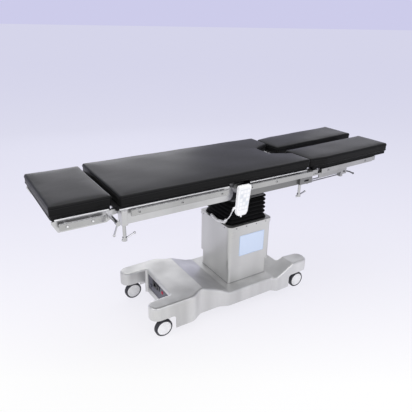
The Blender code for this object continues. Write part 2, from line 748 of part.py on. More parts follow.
seat_steps = []
for side in (-1, 1):
    if side == 1:
        seat_steps.append(add(channel(seat_x0, foot_block_x0 + 0.02, side)))
    # Hinge end: block behind the channel's end, and the lug with the back's hinge pin.
    seat_steps.append(add(box(seat_x0 + 0.0015, seat_x0 + 0.034, side * (half_w - 0.0478), side * (channel_face - 0.0006),
                              frame_bottom + 0.0012, frame_top - 0.0010)))
    seat_steps.append(add(prism(eye(back_pivot_x, back_pivot_z, seat_x0 + 0.020, frame_top - 0.048, frame_top - 0.0014,
                                    hinge_r), "y", side * seat_lug_in, side * seat_lug_out)))
    seat_steps.append(add(rod((back_pivot_x, side * (back_lug_in - 0.003), back_pivot_z),
                              (back_pivot_x, side * (seat_lug_out - 0.002), back_pivot_z), hinge_pin_r, 16)))
    # Foot end: clamp block with its slot and screw bore, and the lug with the leg's hinge pin.
    seat_steps.append(add(chamfered(foot_block_x0, seat_x1, side * (half_w - 0.0380), side * block_out,
                                    frame_bottom + 0.0008, frame_top - 0.0006, 0.0012)))
    seat_steps.append(cut(box(leg_pad_x0 - 0.0610, leg_pad_x0 - 0.0270, side * (block_out - 0.012), side * (block_out + 0.01),
                              frame_top - 0.0565, frame_top - 0.0465)))
    seat_steps.append(cut(rod((foot_screw_x, side * foot_screw_y, frame_bottom - 0.01),
                              (foot_screw_x, side * foot_screw_y, frame_bottom + 0.020),
                              screw_r + run, 12)))
    seat_steps.append(add(box(foot_block_x0 + 0.010, seat_x1 - 0.012, side * leg_lug_in, side * (half_w - 0.0300),
                              frame_top - 0.0400, frame_top - 0.0010)))
    seat_steps.append(add(prism(eye(leg_pivot_x, leg_pivot_z, seat_x1 - 0.020, frame_top - 0.036, leg_pivot_z + leg_eye_r,
                                    leg_eye_r), "y", side * leg_lug_in, side * leg_lug_out)))
    seat_steps.append(add(rod((leg_pivot_x, side * (leg_lug_in + 0.002), leg_pivot_z),
                              (leg_pivot_x, side * (half_w - 0.0370), leg_pivot_z), leg_pin_r, 12)))
    # Tilt lug between the two middle cross tubes.
    lug_z = frame_top - 0.062
    lug = [(column_x - cross_at, frame_top - 0.014), (column_x - cross_at, lug_z)]
    for k in range(9):
        t = math.pi + math.pi * k / 8
        lug.append((column_x + tilt_eye_r * math.cos(t), tilt_z + tilt_eye_r * math.sin(t)))
    lug += [(column_x + cross_at, lug_z), (column_x + cross_at, frame_top - 0.014)]
    lug = [lug[0], lug[1], (column_x - 0.045, lug_z)] + lug[2:11] + [(column_x + 0.045, lug_z)] + lug[11:]
    seat_steps.append(add(prism(lug, "y", side * lug_in, side * lug_out)))
    seat_steps.append(cut(rod((column_x, side * (lug_in - 0.01), tilt_z),
                              (column_x, side * (lug_out + 0.01), tilt_z), pin_r + run, 16)))
for middle in (column_x - cross_at, column_x + cross_at):
    seat_steps.append(add(box(middle - cross_half, middle + cross_half, -(half_w - 0.0100), half_w - 0.0100,
                              frame_top - 0.0640, frame_top - 0.0020)))
seat_frame = combine("seat_frame", channel(seat_x0, foot_block_x0 + 0.02, -1), seat_steps, steel)
ride(seat_frame, "end_tilt")

# Back frame.
joint("back_hinge", (back_pivot_x, 0.0, back_pivot_z), "end_tilt")
head_lug_in, head_lug_out = half_w - 0.0545, half_w - 0.0420
inner_lug_in, inner_lug_out = half_w - 0.0670, head_lug_in - gap
head_pin_r = 0.006
head_eye_r = 0.0120
head_pivot = (head_pivot_x, head_pivot_z - 0.002)
back_steps = []
for side in (-1, 1):
    if side == 1:
        back_steps.append(add(channel(back_x0 + 0.004, back_x1 - 0.022, side)))
    # Hinge end: block with a rounded lower corner, and the bored lug.
    end_outline = rounded([(back_x1 - 0.060, frame_bottom, 0.0), (back_x1, frame_bottom, 0.024),
                           (back_x1, frame_top, 0.003), (back_x1 - 0.060, frame_top, 0.0)], 22.5)
    back_steps.append(add(prism(end_outline, "y", side * (channel_face - 0.0300), side * channel_face)))
    back_steps.append(add(box(back_x1 - 0.040, back_x1 - 0.006, side * back_lug_in, side * (half_w - 0.0340),
                              frame_top - 0.0520, frame_top - 0.0010)))
    back_steps.append(add(prism(eye(back_pivot_x, back_pivot_z, back_x1 - 0.020, frame_top - 0.044, frame_top - 0.0014,
                                    hinge_r), "y", side * back_lug_in, side * back_lug_out)))
    back_steps.append(cut(rod((back_pivot_x, side * (back_lug_in - 0.01), back_pivot_z),
                              (back_pivot_x, side * (back_lug_out + 0.01), back_pivot_z),
                              hinge_pin_r + run, 16)))
    # Head end: clamp block with the screw's bore, and the lug with the head section's pin.
    back_steps.append(add(chamfered(back_x0, back_x0 + 0.028, side * (half_w - 0.0370), side * (half_w + 0.0100),
                                    frame_bottom + 0.0012, frame_top - 0.0006, 0.0012)))
    back_steps.append(cut(rod((head_screw_x, side * head_screw_y, frame_bottom - 0.01),
                              (head_screw_x, side * head_screw_y, frame_bottom + 0.020),
                              screw_r + run, 12)))
    back_steps.append(add(prism(eye(head_pivot[0], head_pivot[1], back_x0 + 0.030, frame_top - 0.042,
                                    frame_top - 0.0014, head_eye_r),
                                "y", side * inner_lug_in, side * inner_lug_out)))
    back_steps.append(add(rod((head_pivot[0], side * (inner_lug_in + 0.002), head_pivot[1]),
                              (head_pivot[0], side * (half_w - 0.0390), head_pivot[1]), head_pin_r, 14)))
for x0, x1 in ((back_x0 + 0.018, back_x0 + 0.048), (-0.460, -0.430), (back_x1 - 0.075, back_x1 - 0.045)):
    back_steps.append(add(box(x0, x1, -(half_w - 0.0100), half_w - 0.0100, frame_top - 0.0500, frame_top - 0.0020)))
back_frame = combine("back_frame", channel(back_x0 + 0.004, back_x1 - 0.022, -1), back_steps, steel)
ride(back_frame, "back_hinge")


# Side rails on stand-offs, with the screw heads.
def side_rail(name, side, x0, x1, inner_face, standoff, z0, screws, made):
    face_in = inner_face + standoff
    face_out = face_in + rail_t
    steps = []
    for sx in screws:
        sz = z0 + rail_h / 2
        steps.append(add(rod((sx, side * (inner_face + gap), sz),
                             (sx, side * (face_in + 0.002), sz), 0.009, 10)))
        steps.append(add(rod((sx, side * (face_out - 0.001), sz),
                             (sx, side * (face_out + screw_head_t), sz), screw_head_r, 10)))
    return combine(name, chamfered(x0, x1, side * face_in, side * face_out, z0, z0 + rail_h, 0.0012),
                   steps, made)


for tag, side in (("near", -1), ("far", 1)):
    rail = side_rail(f"seat_rail_{tag}", side, -0.118, seat_x1 - 0.006, channel_face, rail_standoff, rail_z0,
                     (-0.044, seat_x1 - 0.269), bright)
    ride(rail, "end_tilt")
    rail = side_rail(f"back_rail_{tag}", side, -0.699, -0.187, channel_face, rail_standoff, rail_z0,
                     (-0.660, -0.445, -0.225), bright)
    ride(rail, "back_hinge")


# Boards and pads of the seat and back.
seat_pad_x0 = back_pivot_x + fold_half
board_z0 = frame_top + gap
board_z1 = board_z0 + board_thick
seat_board_half = [
    (seat_pad_x0, half_w - board_inset, 0.004),
    (main_pad_x1 - board_inset, half_w - board_inset, 0.020),
    (main_pad_x1 - board_inset, cut_mouth_half + 0.004, 0.008),
    (main_pad_x1 - cut_depth - 0.004, cut_inner_half + 0.004, 0.012),
]
seat_board = finish("seat_board", prism(rounded(mirrored_outline(seat_board_half), 30.0), "z",
                                        board_z0, board_z1), board_black)
ride(seat_board, "end_tilt")
seat_pad_half = [
    (seat_pad_x0, half_w, 0.0075),
    (main_pad_x1, half_w, pad_corner),
    (main_pad_x1, cut_mouth_half, 0.010),
    (main_pad_x1 - cut_depth, cut_inner_half, 0.014),
]
seat_pad = cushion("seat_pad", mirrored_outline(seat_pad_half), pad_bottom, pad_top)
ride(seat_pad, "end_tilt")

back_pad_x1 = back_pivot_x - fold_half
back_board_half = [
    (main_pad_x0 - 0.018, half_w - board_inset, 0.010),
    (back_pad_x1, half_w - board_inset, 0.004),
]
back_board = finish("back_board", prism(rounded(mirrored_outline(back_board_half), 30.0), "z",
                                        board_z0, board_z1), board_black)
ride(back_board, "back_hinge")
back_pad_half = [(main_pad_x0, half_w, pad_corner), (back_pad_x1, half_w, 0.0075)]
back_pad = cushion("back_pad", mirrored_outline(back_pad_half), pad_bottom, pad_top)
ride(back_pad, "back_hinge")

# Middle of the mattress over the hinge, which bends with the back.
fold_half_outline = [(back_pad_x1 + gap, half_w, 0.0075), (seat_pad_x0 - gap, half_w, 0.0075)]
pad_fold = cushion("pad_fold", mirrored_outline(fold_half_outline), pad_bottom, pad_top)
ride(pad_fold, "end_tilt")


# Clamp screws with sliding T-bars.
def clamp_screw(name, marker, top, tip, bar_along, bar_half, bar_shift, parent):
    # The shaft runs from top to tip; the bar crosses it near the tip.
    joint(marker, top, parent)
    top = Vector(top)
    tip = Vector(tip)
    direction = (tip - top).normalized()
    bar_along = Vector(bar_along).normalized()
    middle = tip - direction * 0.008 + bar_along * bar_shift
    steps = [
        add(rod(tip - direction * 0.018, tip, screw_r + 0.0030, 14)),
        add(rod(middle - bar_along * bar_half, middle + bar_along * bar_half, 0.0042, 8)),
        add(ball(middle - bar_along * bar_half, 0.0062)),
        add(ball(middle + bar_along * bar_half, 0.0062)),
    ]
    made = combine(name, rod(top, tip - direction * 0.010, screw_r, 12), steps, bright, 35)
    ride(made, marker)
    return made


for tag, side in (("near", -1), ("far", 1)):
    clamp_screw(f"head_end_clamp_{tag}", f"turn_head_end_{tag}",
                (head_screw_x, side * head_screw_y, frame_bottom + 0.018),
                (head_screw_x, side * head_screw_y, frame_top - 0.1480), (1, 0, 0.42), 0.031, 0.021, "back_hinge")
    clamp_screw(f"foot_end_clamp_{tag}", f"turn_foot_end_{tag}",
                (foot_screw_x, side * foot_screw_y, frame_bottom + 0.018),
                (foot_screw_x, side * foot_screw_y, frame_top - 0.1440), (1, 0, 0.30), 0.031, 0.016, "end_tilt")

# Head section: frame, rails, board and pad.
joint("head_hinge", (head_pivot[0], 0.0, head_pivot[1]), "back_hinge")
head_face = half_w - 0.030
head_x1 = -0.770
head_plate_bottom = frame_top - 0.052
head_screw2_x = -0.782
head_screw2_z = frame_top - 0.022
head_side = [(head_x1, frame_top, 0.0), (-1.026, frame_top, 0.0), (-1.026, frame_top - 0.010, 0.0),
             (-1.004, head_plate_bottom, 0.006), (-0.796, head_plate_bottom, 0.006),
             (head_x1, head_plate_bottom + 0.016, 0.006)]
head_steps = []
for side in (-1, 1):
    if side == 1:
        head_steps.append(add(prism(rounded(head_side, 30.0), "y", side * (head_face - 0.004), side * head_face)))
    head_steps.append(add(box(-1.020, head_x1 - 0.002, side * (half_w - 0.0540), side * (head_face - 0.001),
                              frame_top - 0.0045, frame_top - 0.0005)))
    head_steps.append(add(box(head_x1 - 0.026, head_x1 - 0.0015, side * head_lug_in, side * (head_face - 0.0012),
                              frame_top - 0.0360, frame_top - 0.0012)))
    head_steps.append(add(prism(eye(head_pivot[0], head_pivot[1], head_x1 - 0.010, frame_top - 0.030,
                                    frame_top - 0.0016, head_eye_r), "y", side * head_lug_in, side * head_lug_out)))
    head_steps.append(cut(rod((head_pivot[0], side * (head_lug_in - 0.01), head_pivot[1]),
                              (head_pivot[0], side * (head_lug_out + 0.01), head_pivot[1]),
                              head_pin_r + run, 14)))
    # Boss of the sideways clamp screw.
    head_steps.append(add(box(head_screw2_x - 0.012, head_screw2_x + 0.011, side * (half_w - 0.0500), side * (half_w - 0.0140),
                              head_screw2_z - 0.011, head_screw2_z + 0.011)))
    head_steps.append(cut(rod((head_screw2_x, side * (half_w - 0.0320), head_screw2_z),
                              (head_screw2_x, side * (half_w - 0.0000), head_screw2_z), screw_r + run, 12)))
for x0, x1 in ((head_x1 - 0.040, head_x1 - 0.014), (-1.000, -0.974)):
    head_steps.append(add(box(x0, x1, -(half_w - 0.0320), half_w - 0.0320, frame_top - 0.0340, frame_top - 0.0020)))
head_frame = combine("head_frame", prism(rounded(head_side, 30.0), "y", -(head_face - 0.004), -head_face),
                     head_steps, steel)
ride(head_frame, "head_hinge")
for tag, side in (("near", -1), ("far", 1)):
    rail = side_rail(f"head_rail_{tag}", side, -1.001, -0.806, head_face, rail_standoff, frame_top - 0.036,
                     (-0.969, -0.862), bright)
    ride(rail, "head_hinge")
    clamp_screw(f"head_clamp_{tag}", f"turn_head_{tag}",
                (head_screw2_x, side * (half_w - 0.0300), head_screw2_z), (head_screw2_x, side * 0.3440, head_screw2_z),
                (0.34, 0, 0.94), 0.034, -0.022, "head_hinge")
head_half = head_pad_width / 2
head_board_half = [(head_pad_x0 + board_inset, head_half - board_inset, 0.020),
                   (head_pad_x0 + head_pad_len - board_inset, head_half - board_inset, 0.020)]
head_board = finish("head_board", prism(rounded(mirrored_outline(head_board_half), 30.0), "z",
                                        board_z0, board_z1), board_black)
ride(head_board, "head_hinge")
head_pad_half = [(head_pad_x0, head_half, pad_corner), (head_pad_x0 + head_pad_len, head_half, pad_corner)]
head_pad = cushion("head_pad", mirrored_outline(head_pad_half), pad_bottom, pad_top)
ride(head_pad, "head_hinge")

# Leg sections. They are drawn level and turned up by leg_rise_deg about the hinge.
leg_board_z1 = board_z1 - leg_drop
leg_board_z0 = board_z0 - leg_drop
leg_pad_z0 = pad_bottom - leg_drop
leg_pad_z1 = pad_top - leg_drop
leg_frame_top = leg_board_z0 - gap
pivot_z = leg_pivot_z
lever_pin_r = 0.005
tongue_z0 = frame_top - 0.0460
tongue_z1 = frame_top - 0.0363
# The tongue leans with the leg, so its hole is drawn where it meets the upright pin.
leg_face = half_w - 0.024
hole_x = abduct_x - (pivot_z - (tongue_z0 + tongue_z1) / 2) * math.sin(leg_up)
for tag, side in (("near", -1), ("far", 1)):
    joint(f"leg_pitch_{tag}", (leg_pivot_x, side * abduct_y, pivot_z), "end_tilt")
    joint(f"leg_spread_{tag}", (abduct_x, side * abduct_y, pivot_z), f"leg_pitch_{tag}")
    s = side
    # Hinge block: bored tongue beside the seat's lug, then the block with the upright pin.
    block = combine(
        f"leg_hinge_block_{tag}",
        chamfered(leg_pad_x0 + 0.0245, leg_pad_x0 + 0.0670, s * (half_w - 0.0640), s * (half_w - 0.0200), frame_top - 0.0350, frame_top - 0.0120, 0.0012),
        [
            add(prism(eye(leg_pivot_x, pivot_z, leg_pivot_x + 0.016, pivot_z - leg_eye_r + 0.001, pivot_z + leg_eye_r - 0.001,
                          leg_eye_r - 0.001), "y", s * (leg_lug_out + gap), s * (half_w - 0.0400))),
            cut(rod((leg_pivot_x, s * (half_w - 0.0600), pivot_z), (leg_pivot_x, s * (half_w - 0.0300), pivot_z),
                    leg_pin_r + run, 12)),
            add(rod((abduct_x, s * abduct_y, frame_top - 0.0500), (abduct_x, s * abduct_y, frame_top - 0.0310), 0.008, 14)),
        ], steel)
    ride(block, f"leg_pitch_{tag}")
    # Leg frame: outer plate, tongue under the block, cross bars, inner bar and the twin rods.
    plate_outer = s * leg_face
    plate_inner = s * (leg_face - 0.005)
    plate = rounded([(leg_pad_x0 + 0.080, leg_frame_top, 0.0), (leg_pad_x0 + 0.080, frame_top - 0.069, 0.004),
                     (leg_pad_x0 + 0.251, frame_top - 0.067, 0.02), (leg_pad_x0 + 0.341, frame_top - 0.036, 0.02),
                     (leg_pad_x1 - 0.102, frame_top - 0.036, 0.004), (leg_pad_x1 - 0.102, leg_frame_top, 0.0)], 30.0)
    leg_steps = [
        add(prism(rounded([(abduct_x - 0.012, s * (abduct_y - 0.015), 0.008), (abduct_x - 0.012, s * (abduct_y + 0.015), 0.008),
                           (abduct_x + 0.054, s * (abduct_y + 0.015), 0.0),
                           (abduct_x + 0.054, s * (abduct_y - 0.015), 0.0)], 30.0), "z", tongue_z0, tongue_z1)),
        cut(rod((hole_x, s * abduct_y, frame_top - 0.0600), (hole_x, s * abduct_y, frame_top - 0.0250), 0.008 + run * 2, 14)),
        add(box(leg_pad_x0 + 0.1260, leg_pad_x0 + 0.1560, s * 0.0600, s * (half_w - 0.0270), frame_top - 0.0300, leg_frame_top - 0.0006)),
        add(box(leg_pad_x0 + 0.5010, leg_pad_x0 + 0.5260, s * 0.0600, s * (half_w - 0.0270), frame_top - 0.0300, leg_frame_top - 0.0006)),
        add(box(leg_pad_x0 + 0.1210, leg_pad_x0 + 0.5310, s * 0.0550, s * 0.0700, frame_top - 0.0280, leg_frame_top - 0.0012)),
        add(box(leg_pad_x0 + 0.0970, leg_pad_x0 + 0.1310, s * (half_w - 0.0520), s * (half_w - 0.0280), frame_top - 0.0440, leg_frame_top - 0.0016)),
        add(chamfered(leg_pad_x0 + 0.5160, leg_pad_x0 + 0.5400, s * (half_w - 0.0300), s * (half_w - 0.0080), frame_top - 0.0355, leg_frame_top - 0.0004, 0.0012)),
        add(box(leg_pad_x0 + 0.2670, leg_pad_x0 + 0.2850, s * (half_w - 0.0550), s * (half_w - 0.0280), frame_top - 0.0980, frame_top - 0.0580)),
        add(chamfered(leg_pad_x0 + 0.0090, leg_pad_x0 + 0.0200, s * (half_w - 0.0540), s * (half_w - 0.0420), frame_top - 0.0980, frame_top - 0.0720, 0.0012)),
        add(rod((leg_pad_x0 + 0.0140, s * (half_w - 0.0480), frame_top - 0.0790), (leg_pad_x0 + 0.2760, s * (half_w - 0.0480), frame_top - 0.0790), 0.0036, 12)),
        add(rod((leg_pad_x0 + 0.0140, s * (half_w - 0.0480), frame_top - 0.0910), (leg_pad_x0 + 0.2760, s * (half_w - 0.0480), frame_top - 0.0910), 0.0036, 12)),
        add(box(leg_pad_x0 + 0.3520, leg_pad_x0 + 0.3920, s * 0.1740, s * 0.1790, frame_top - 0.1180, frame_top - 0.0240)),
        add(box(leg_pad_x0 + 0.3540, leg_pad_x0 + 0.3900, s * 0.1752, s * (half_w - 0.0270), frame_top - 0.0294, leg_frame_top - 0.0012)),
        cut(rod((leg_pad_x0 + 0.3720, s * 0.1690, frame_top - 0.1020), (leg_pad_x0 + 0.3720, s * 0.1860, frame_top - 0.1020), lever_pin_r + run, 14)),
    ]
    frame = combine(f"leg_frame_{tag}", prism(plate, "y", plate_inner, plate_outer), leg_steps, steel)
    ride(frame, f"leg_spread_{tag}", -leg_up)
    rail = side_rail(f"leg_rail_{tag}", s, leg_pad_x0 + 0.085, leg_pad_x1 - 0.128,
                     leg_face, 0.0065, frame_top - 0.039, (leg_pad_x0 + 0.138, leg_pad_x1 - 0.192), bright)
    ride(rail, f"leg_spread_{tag}", -leg_up)
    inner, outer = s * leg_pad_y0, s * (leg_pad_y0 + leg_pad_width)
    leg_outline = [(leg_pad_x0, inner, pad_corner), (leg_pad_x1, inner, pad_corner), (leg_pad_x1, outer, pad_corner),
                   (leg_pad_x0 + 0.125, outer, 0.10), (leg_pad_x0, outer - s * 0.020, 0.022)]
    pad = cushion(f"leg_pad_{tag}", leg_outline, leg_pad_z0, leg_pad_z1)
    ride(pad, f"leg_spread_{tag}", -leg_up)
    i2, o2 = inner + s * board_inset, outer - s * board_inset
    board_outline = [(leg_pad_x0 + leg_board_start, i2, 0.010), (leg_pad_x1 - board_inset, i2, 0.010),
                     (leg_pad_x1 - board_inset, o2, 0.010), (leg_pad_x0 + 0.125, o2, 0.10),
                     (leg_pad_x0 + leg_board_start, o2 - s * 0.015, 0.010)]
    board = finish(f"leg_board_{tag}", prism(rounded(board_outline, 30.0), "z", leg_board_z0, leg_board_z1),
                   board_black)
    ride(board, f"leg_spread_{tag}", -leg_up)
    # Lever with its dark knob, turning on the bracket.
    knob = (leg_pad_x0 + 0.372, s * 0.1600, frame_top - 0.102)
    base_point = origins[f"leg_spread_{tag}"]
    knob_turned = base_point + Matrix.Rotation(-leg_up, 3, "Y") @ (Vector(knob) - base_point)
    joint(f"leg_lever_turn_{tag}", knob_turned, f"leg_spread_{tag}")
    star = []
    for k in range(24):
        t = 2 * math.pi * k / 24
        r = 0.0200 if k % 4 in (0, 1) else 0.0170
        star.append((knob[0] + r * math.cos(t), knob[2] + r * math.sin(t)))
    lever = combine(
        f"leg_lever_{tag}", prism(star, "y", s * (0.1740 - 0.0004), s * 0.1480),
        [
            add(rod((knob[0], s * 0.1500, knob[2]), (leg_pad_x0 + 0.4510, s * 0.1560, frame_top - 0.1260), 0.0045, 8)),
            add(rod((leg_pad_x0 + 0.4495, s * 0.1560, frame_top - 0.1255), (leg_pad_x0 + 0.4870, s * 0.1560, frame_top - 0.1440), 0.0045, 8)),
            add(ball((leg_pad_x0 + 0.4870, s * 0.1560, frame_top - 0.1440), 0.0065, 10, 6)),
            add(rod((knob[0], s * 0.1700, knob[2]), (knob[0], s * 0.1830, knob[2]), lever_pin_r, 12)),
        ], dark_steel, 35)
    ride(lever, f"leg_lever_turn_{tag}", -leg_up, knob)

# Hand control hooked on the near seat rail, leaning a little towards the head end.
rail_top = rail_z0 + rail_h
rail_in = channel_face + rail_standoff
hook_x0, hook_x1 = -0.112, -0.090
hs_z1 = rail_top + 0.013
hs_z0 = hs_z1 - 0.157
hs_back = -(rail_in + rail_t + 0.005)
hs_front = hs_back - 0.0245
hs_low_x = -0.1195
joint("handset_lift", ((hook_x0 + hook_x1) / 2, hs_back, hs_z1), "end_tilt")
handset_outline = rounded([
    (-0.1535, hs_z0 + 0.018, 0.008), (-0.1430, hs_z0, 0.008), (-0.0960, hs_z0, 0.008),
    (-0.0855, hs_z0 + 0.018, 0.008), (-0.0665, hs_z1, 0.010), (-0.1445, hs_z1, 0.010)], 22.5)
bm = bmesh.new()
levels = [(hs_back, 0.004), (hs_back - 0.004, 0.0), (hs_front + 0.006, 0.0), (hs_front + 0.0015, 0.0025),
          (hs_front, 0.006)]
rings = []
for y, shift in levels:
    shape = inset(handset_outline, shift) if shift else handset_outline
    rings.append([bm.verts.new((a, y, b)) for a, b in shape])
for low, high in zip(rings, rings[1:]):
    for i in range(len(handset_outline)):
        j = (i + 1) % len(handset_outline)
        bm.faces.new((low[i], low[j], high[j], high[i]))
bm.faces.new(rings[0])
bm.faces.new(rings[-1])
bmesh.ops.recalc_face_normals(bm, faces=bm.faces)
boot = [(-0.0745, 0.035, rim_z1 + 0.0075), (-0.0875, -0.040, rim_z1 + 0.0075),
        (-0.0760, -0.098, rim_z1 + 0.0150), (-0.0800, -0.116, rim_z1 + 0.0360)]
boot_r = 0.0078
cord_r = 0.0026
cord_start = Vector((-0.1600, hs_back + 0.0015, hs_z0 + 0.031))
cord_end = Vector(boot[-1]) + (Vector(boot[-1]) - Vector(boot[-2])).normalized() * 0.0018
cord_route = []
for k in range(9):
    t = k / 8
    place = cord_start.lerp(cord_end, t)
    cord_route.append((place.x, place.y, place.z - 0.048 * t * (1 - t)))
lug_along = (Vector(cord_route[1]) - Vector(cord_route[0])).normalized()
lug_end = cord_start - lug_along * 0.0008
lug_bend = cord_start - lug_along * 0.0160
handset = combine(
    "handset", bm,
    [
        add(box(hook_x0, hook_x1, hs_back - 0.003, -(rail_in - 0.0045), rail_top + gap, rail_top + 0.0035)),
        add(box(hook_x0, hook_x1, -(rail_in - 0.0015), -(rail_in - 0.0045), rail_top - 0.012, rail_top + 0.0030)),
        add(rod((hs_low_x, hs_back - 0.012, hs_z0 + 0.004), (hs_low_x, hs_back - 0.012, hs_z0 - 0.011), 0.0042, 10)),
        add(rod((-0.1450, lug_bend.y, lug_bend.z + 0.005), lug_bend, 0.0062, 12)),
        add(rod(lug_bend, lug_end, 0.0048, 12)),
    ], handset_white, 35)
ride(handset, "handset_lift")

# Hand control cord, from the lug on the hand control to the boot on the column's rim.


def smooth_route(points, steps):
    # Catmull-Rom points through the given places.
    out = []
    count = len(points)
    for i in range(count - 1):
        p0 = Vector(points[max(i - 1, 0)])
        p1 = Vector(points[i])
        p2 = Vector(points[i + 1])
        p3 = Vector(points[min(i + 2, count - 1)])
        for k in range(steps):
            t = k / steps
            out.append(0.5 * ((2 * p1) + (p2 - p0) * t + (2 * p0 - 5 * p1 + 4 * p2 - p3) * t * t
                              + (3 * p1 - p0 - 3 * p2 + p3) * t * t * t))
    out.append(Vector(points[-1]))
    return out


route = smooth_route(cord_route, 4)
curve = bpy.data.curves.new("handset_cord", "CURVE")
curve.dimensions = "3D"
curve.bevel_depth = cord_r
curve.bevel_resolution = 2
curve.use_fill_caps = True
spline = curve.splines.new("POLY")
spline.points.add(len(route) - 1)
for point, place in zip(spline.points, route):
    point.co = (place.x, place.y, place.z, 1.0)
cord = bpy.data.objects.new("handset_cord", curve)
bpy.context.collection.objects.link(cord)
curve.materials.append(cord_white)
# The boot is one piece with the upper cover's rim, where the cord ends.
for k, (start, end) in enumerate(zip(boot, boot[1:])):
    start, end = Vector(start), Vector(end)
    reach = (end - start).normalized() * (0.0 if k == 2 else 0.003)
    piece = finish(f"column_upper_cover_boot_{k}", rod(start, end + reach, boot_r - 0.0004 * k, 14), steel, 35)
    piece.hide_render = True
    piece.hide_set(True)
    piece.display_type = "WIRE"
    made = upper_cover.modifiers.new(f"boot_{k}", "BOOLEAN")
    made.operation = "UNION"
    made.solver = "EXACT"
    made.object = piece
rocker_marker = joint("rocker_turn", rocker_axis)
ride(rocker, "rocker_turn")
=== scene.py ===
# Looks of the operating table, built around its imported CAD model. Metres, same frame as the CAD.
import math
import bpy
import bmesh
from mathutils import Matrix, Vector


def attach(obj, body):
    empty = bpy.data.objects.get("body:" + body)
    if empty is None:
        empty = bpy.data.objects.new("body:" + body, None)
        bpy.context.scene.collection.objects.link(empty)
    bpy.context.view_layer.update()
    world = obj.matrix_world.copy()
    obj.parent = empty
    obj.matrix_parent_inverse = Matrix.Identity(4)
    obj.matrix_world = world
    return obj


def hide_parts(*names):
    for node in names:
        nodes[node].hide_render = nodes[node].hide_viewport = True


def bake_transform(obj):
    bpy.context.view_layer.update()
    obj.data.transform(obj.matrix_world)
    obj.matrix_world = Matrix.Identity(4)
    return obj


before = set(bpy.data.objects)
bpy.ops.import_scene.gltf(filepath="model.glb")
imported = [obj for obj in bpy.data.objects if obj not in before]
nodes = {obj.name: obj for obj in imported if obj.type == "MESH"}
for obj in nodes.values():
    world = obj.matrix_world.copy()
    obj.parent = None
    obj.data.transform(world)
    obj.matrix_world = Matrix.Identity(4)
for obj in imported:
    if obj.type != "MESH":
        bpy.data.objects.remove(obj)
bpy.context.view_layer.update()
scene = bpy.context.scene
scene.view_settings.view_transform = "Standard"


# Camera at the photograph's viewing angle, and the hand control's cord.
def rounded(corners, arc_deg=15.0):
    # Each corner is (a, b, radius); the result is the outline with arcs at the corners.
    points = []
    count = len(corners)
    for i in range(count):
        a, b, radius = corners[i]
        here = Vector((a, b))
        before = Vector(corners[i - 1][:2])
        after = Vector(corners[(i + 1) % count][:2])
        if radius <= 0:
            points.append((here.x, here.y))
            continue
        to_before = (before - here).normalized()
        to_after = (after - here).normalized()
        corner = to_before.angle(to_after)
        reach = radius / math.tan(corner / 2)
        start = here + to_before * reach
        end = here + to_after * reach
        middle = here + (to_before + to_after).normalized() * (radius / math.sin(corner / 2))
        a0 = math.atan2(start.y - middle.y, start.x - middle.x)
        a1 = math.atan2(end.y - middle.y, end.x - middle.x)
        sweep = (a1 - a0 + math.pi) % (2 * math.pi) - math.pi
        steps = max(1, math.ceil(abs(math.degrees(sweep)) / arc_deg))
        for k in range(steps + 1):
            t = a0 + sweep * k / steps
            points.append((middle.x + radius * math.cos(t), middle.y + radius * math.sin(t)))
    return points


view_heading_deg = 32.275
view_height = 1.561


def place_camera():
    yaw, pitch, roll = (math.radians(v) for v in (view_heading_deg, 23.099, 0.92))
    forward = Vector((math.sin(yaw) * math.cos(pitch), math.cos(yaw) * math.cos(pitch), -math.sin(pitch)))
    right0 = Vector((math.cos(yaw), -math.sin(yaw), 0))
    up0 = right0.cross(forward)
    right = math.cos(roll) * right0 + math.sin(roll) * up0
    up = -math.sin(roll) * right0 + math.cos(roll) * up0
    data = bpy.data.cameras.new("camera")
    sensor = 36.0
    focal_pixels, frame_pixels = 436.875, 412
    data.sensor_width = sensor
    data.lens = focal_pixels / frame_pixels * sensor
    data.clip_end = 100
    camera = bpy.data.objects.new("camera", data)
    scene.collection.objects.link(camera)
    matrix = Matrix((right, up, -forward)).transposed().to_4x4()
    matrix.translation = Vector((-1.347, -1.915, view_height))
    camera.matrix_world = matrix
    scene.camera = camera


place_camera()

# The boot lies on the column's rim and turns up; the cord runs from the hand control's lug down to it.
rim_top = 0.50499
boot_route = [(-0.0745, 0.0350, rim_top + 0.0075), (-0.0875, -0.0400, rim_top + 0.0075),
              (-0.0760, -0.0980, rim_top + 0.0150), (-0.0800, -0.1160, rim_top + 0.0360)]
boot_end = Vector(boot_route[-1])
boot_way = (boot_end - Vector(boot_route[-2])).normalized()
cord_radius = 0.0026
cord_sag = 0.048
cord_start = Vector((-0.1600, -0.2900, 0.6861))
cord_end = boot_end + boot_way * 0.0018
cord_spans = 8
cord_places = []
for k in range(cord_spans + 1):
    t = k / cord_spans
    place = cord_start.lerp(cord_end, t)
    cord_places.append((place.x, place.y, place.z - cord_sag * t * (1 - t)))


def smooth_route(points, steps):
    out = []
    count = len(points)
    for i in range(count - 1):
        p0 = Vector(points[max(i - 1, 0)])
        p1 = Vector(points[i])
        p2 = Vector(points[i + 1])
        p3 = Vector(points[min(i + 2, count - 1)])
        for k in range(steps):
            t = k / steps
            out.append(0.5 * ((2 * p1) + (p2 - p0) * t + (2 * p0 - 5 * p1 + 4 * p2 - p3) * t * t
                              + (3 * p1 - p0 - 3 * p2 + p3) * t * t * t))
    out.append(Vector(points[-1]))
    return out


# Materials.
def new_material(name, colour, roughness, metallic=0.0, specular=0.5):
    made = bpy.data.materials.new(name)
    made.use_nodes = True
    shader = made.node_tree.nodes["Principled BSDF"]
    shader.inputs["Base Color"].default_value = (*colour, 1.0)
    shader.inputs["Roughness"].default_value = roughness
    shader.inputs["Metallic"].default_value = metallic
    shader.inputs["Specular IOR Level"].default_value = specular
    return made, made.node_tree.nodes, made.node_tree.links, shader


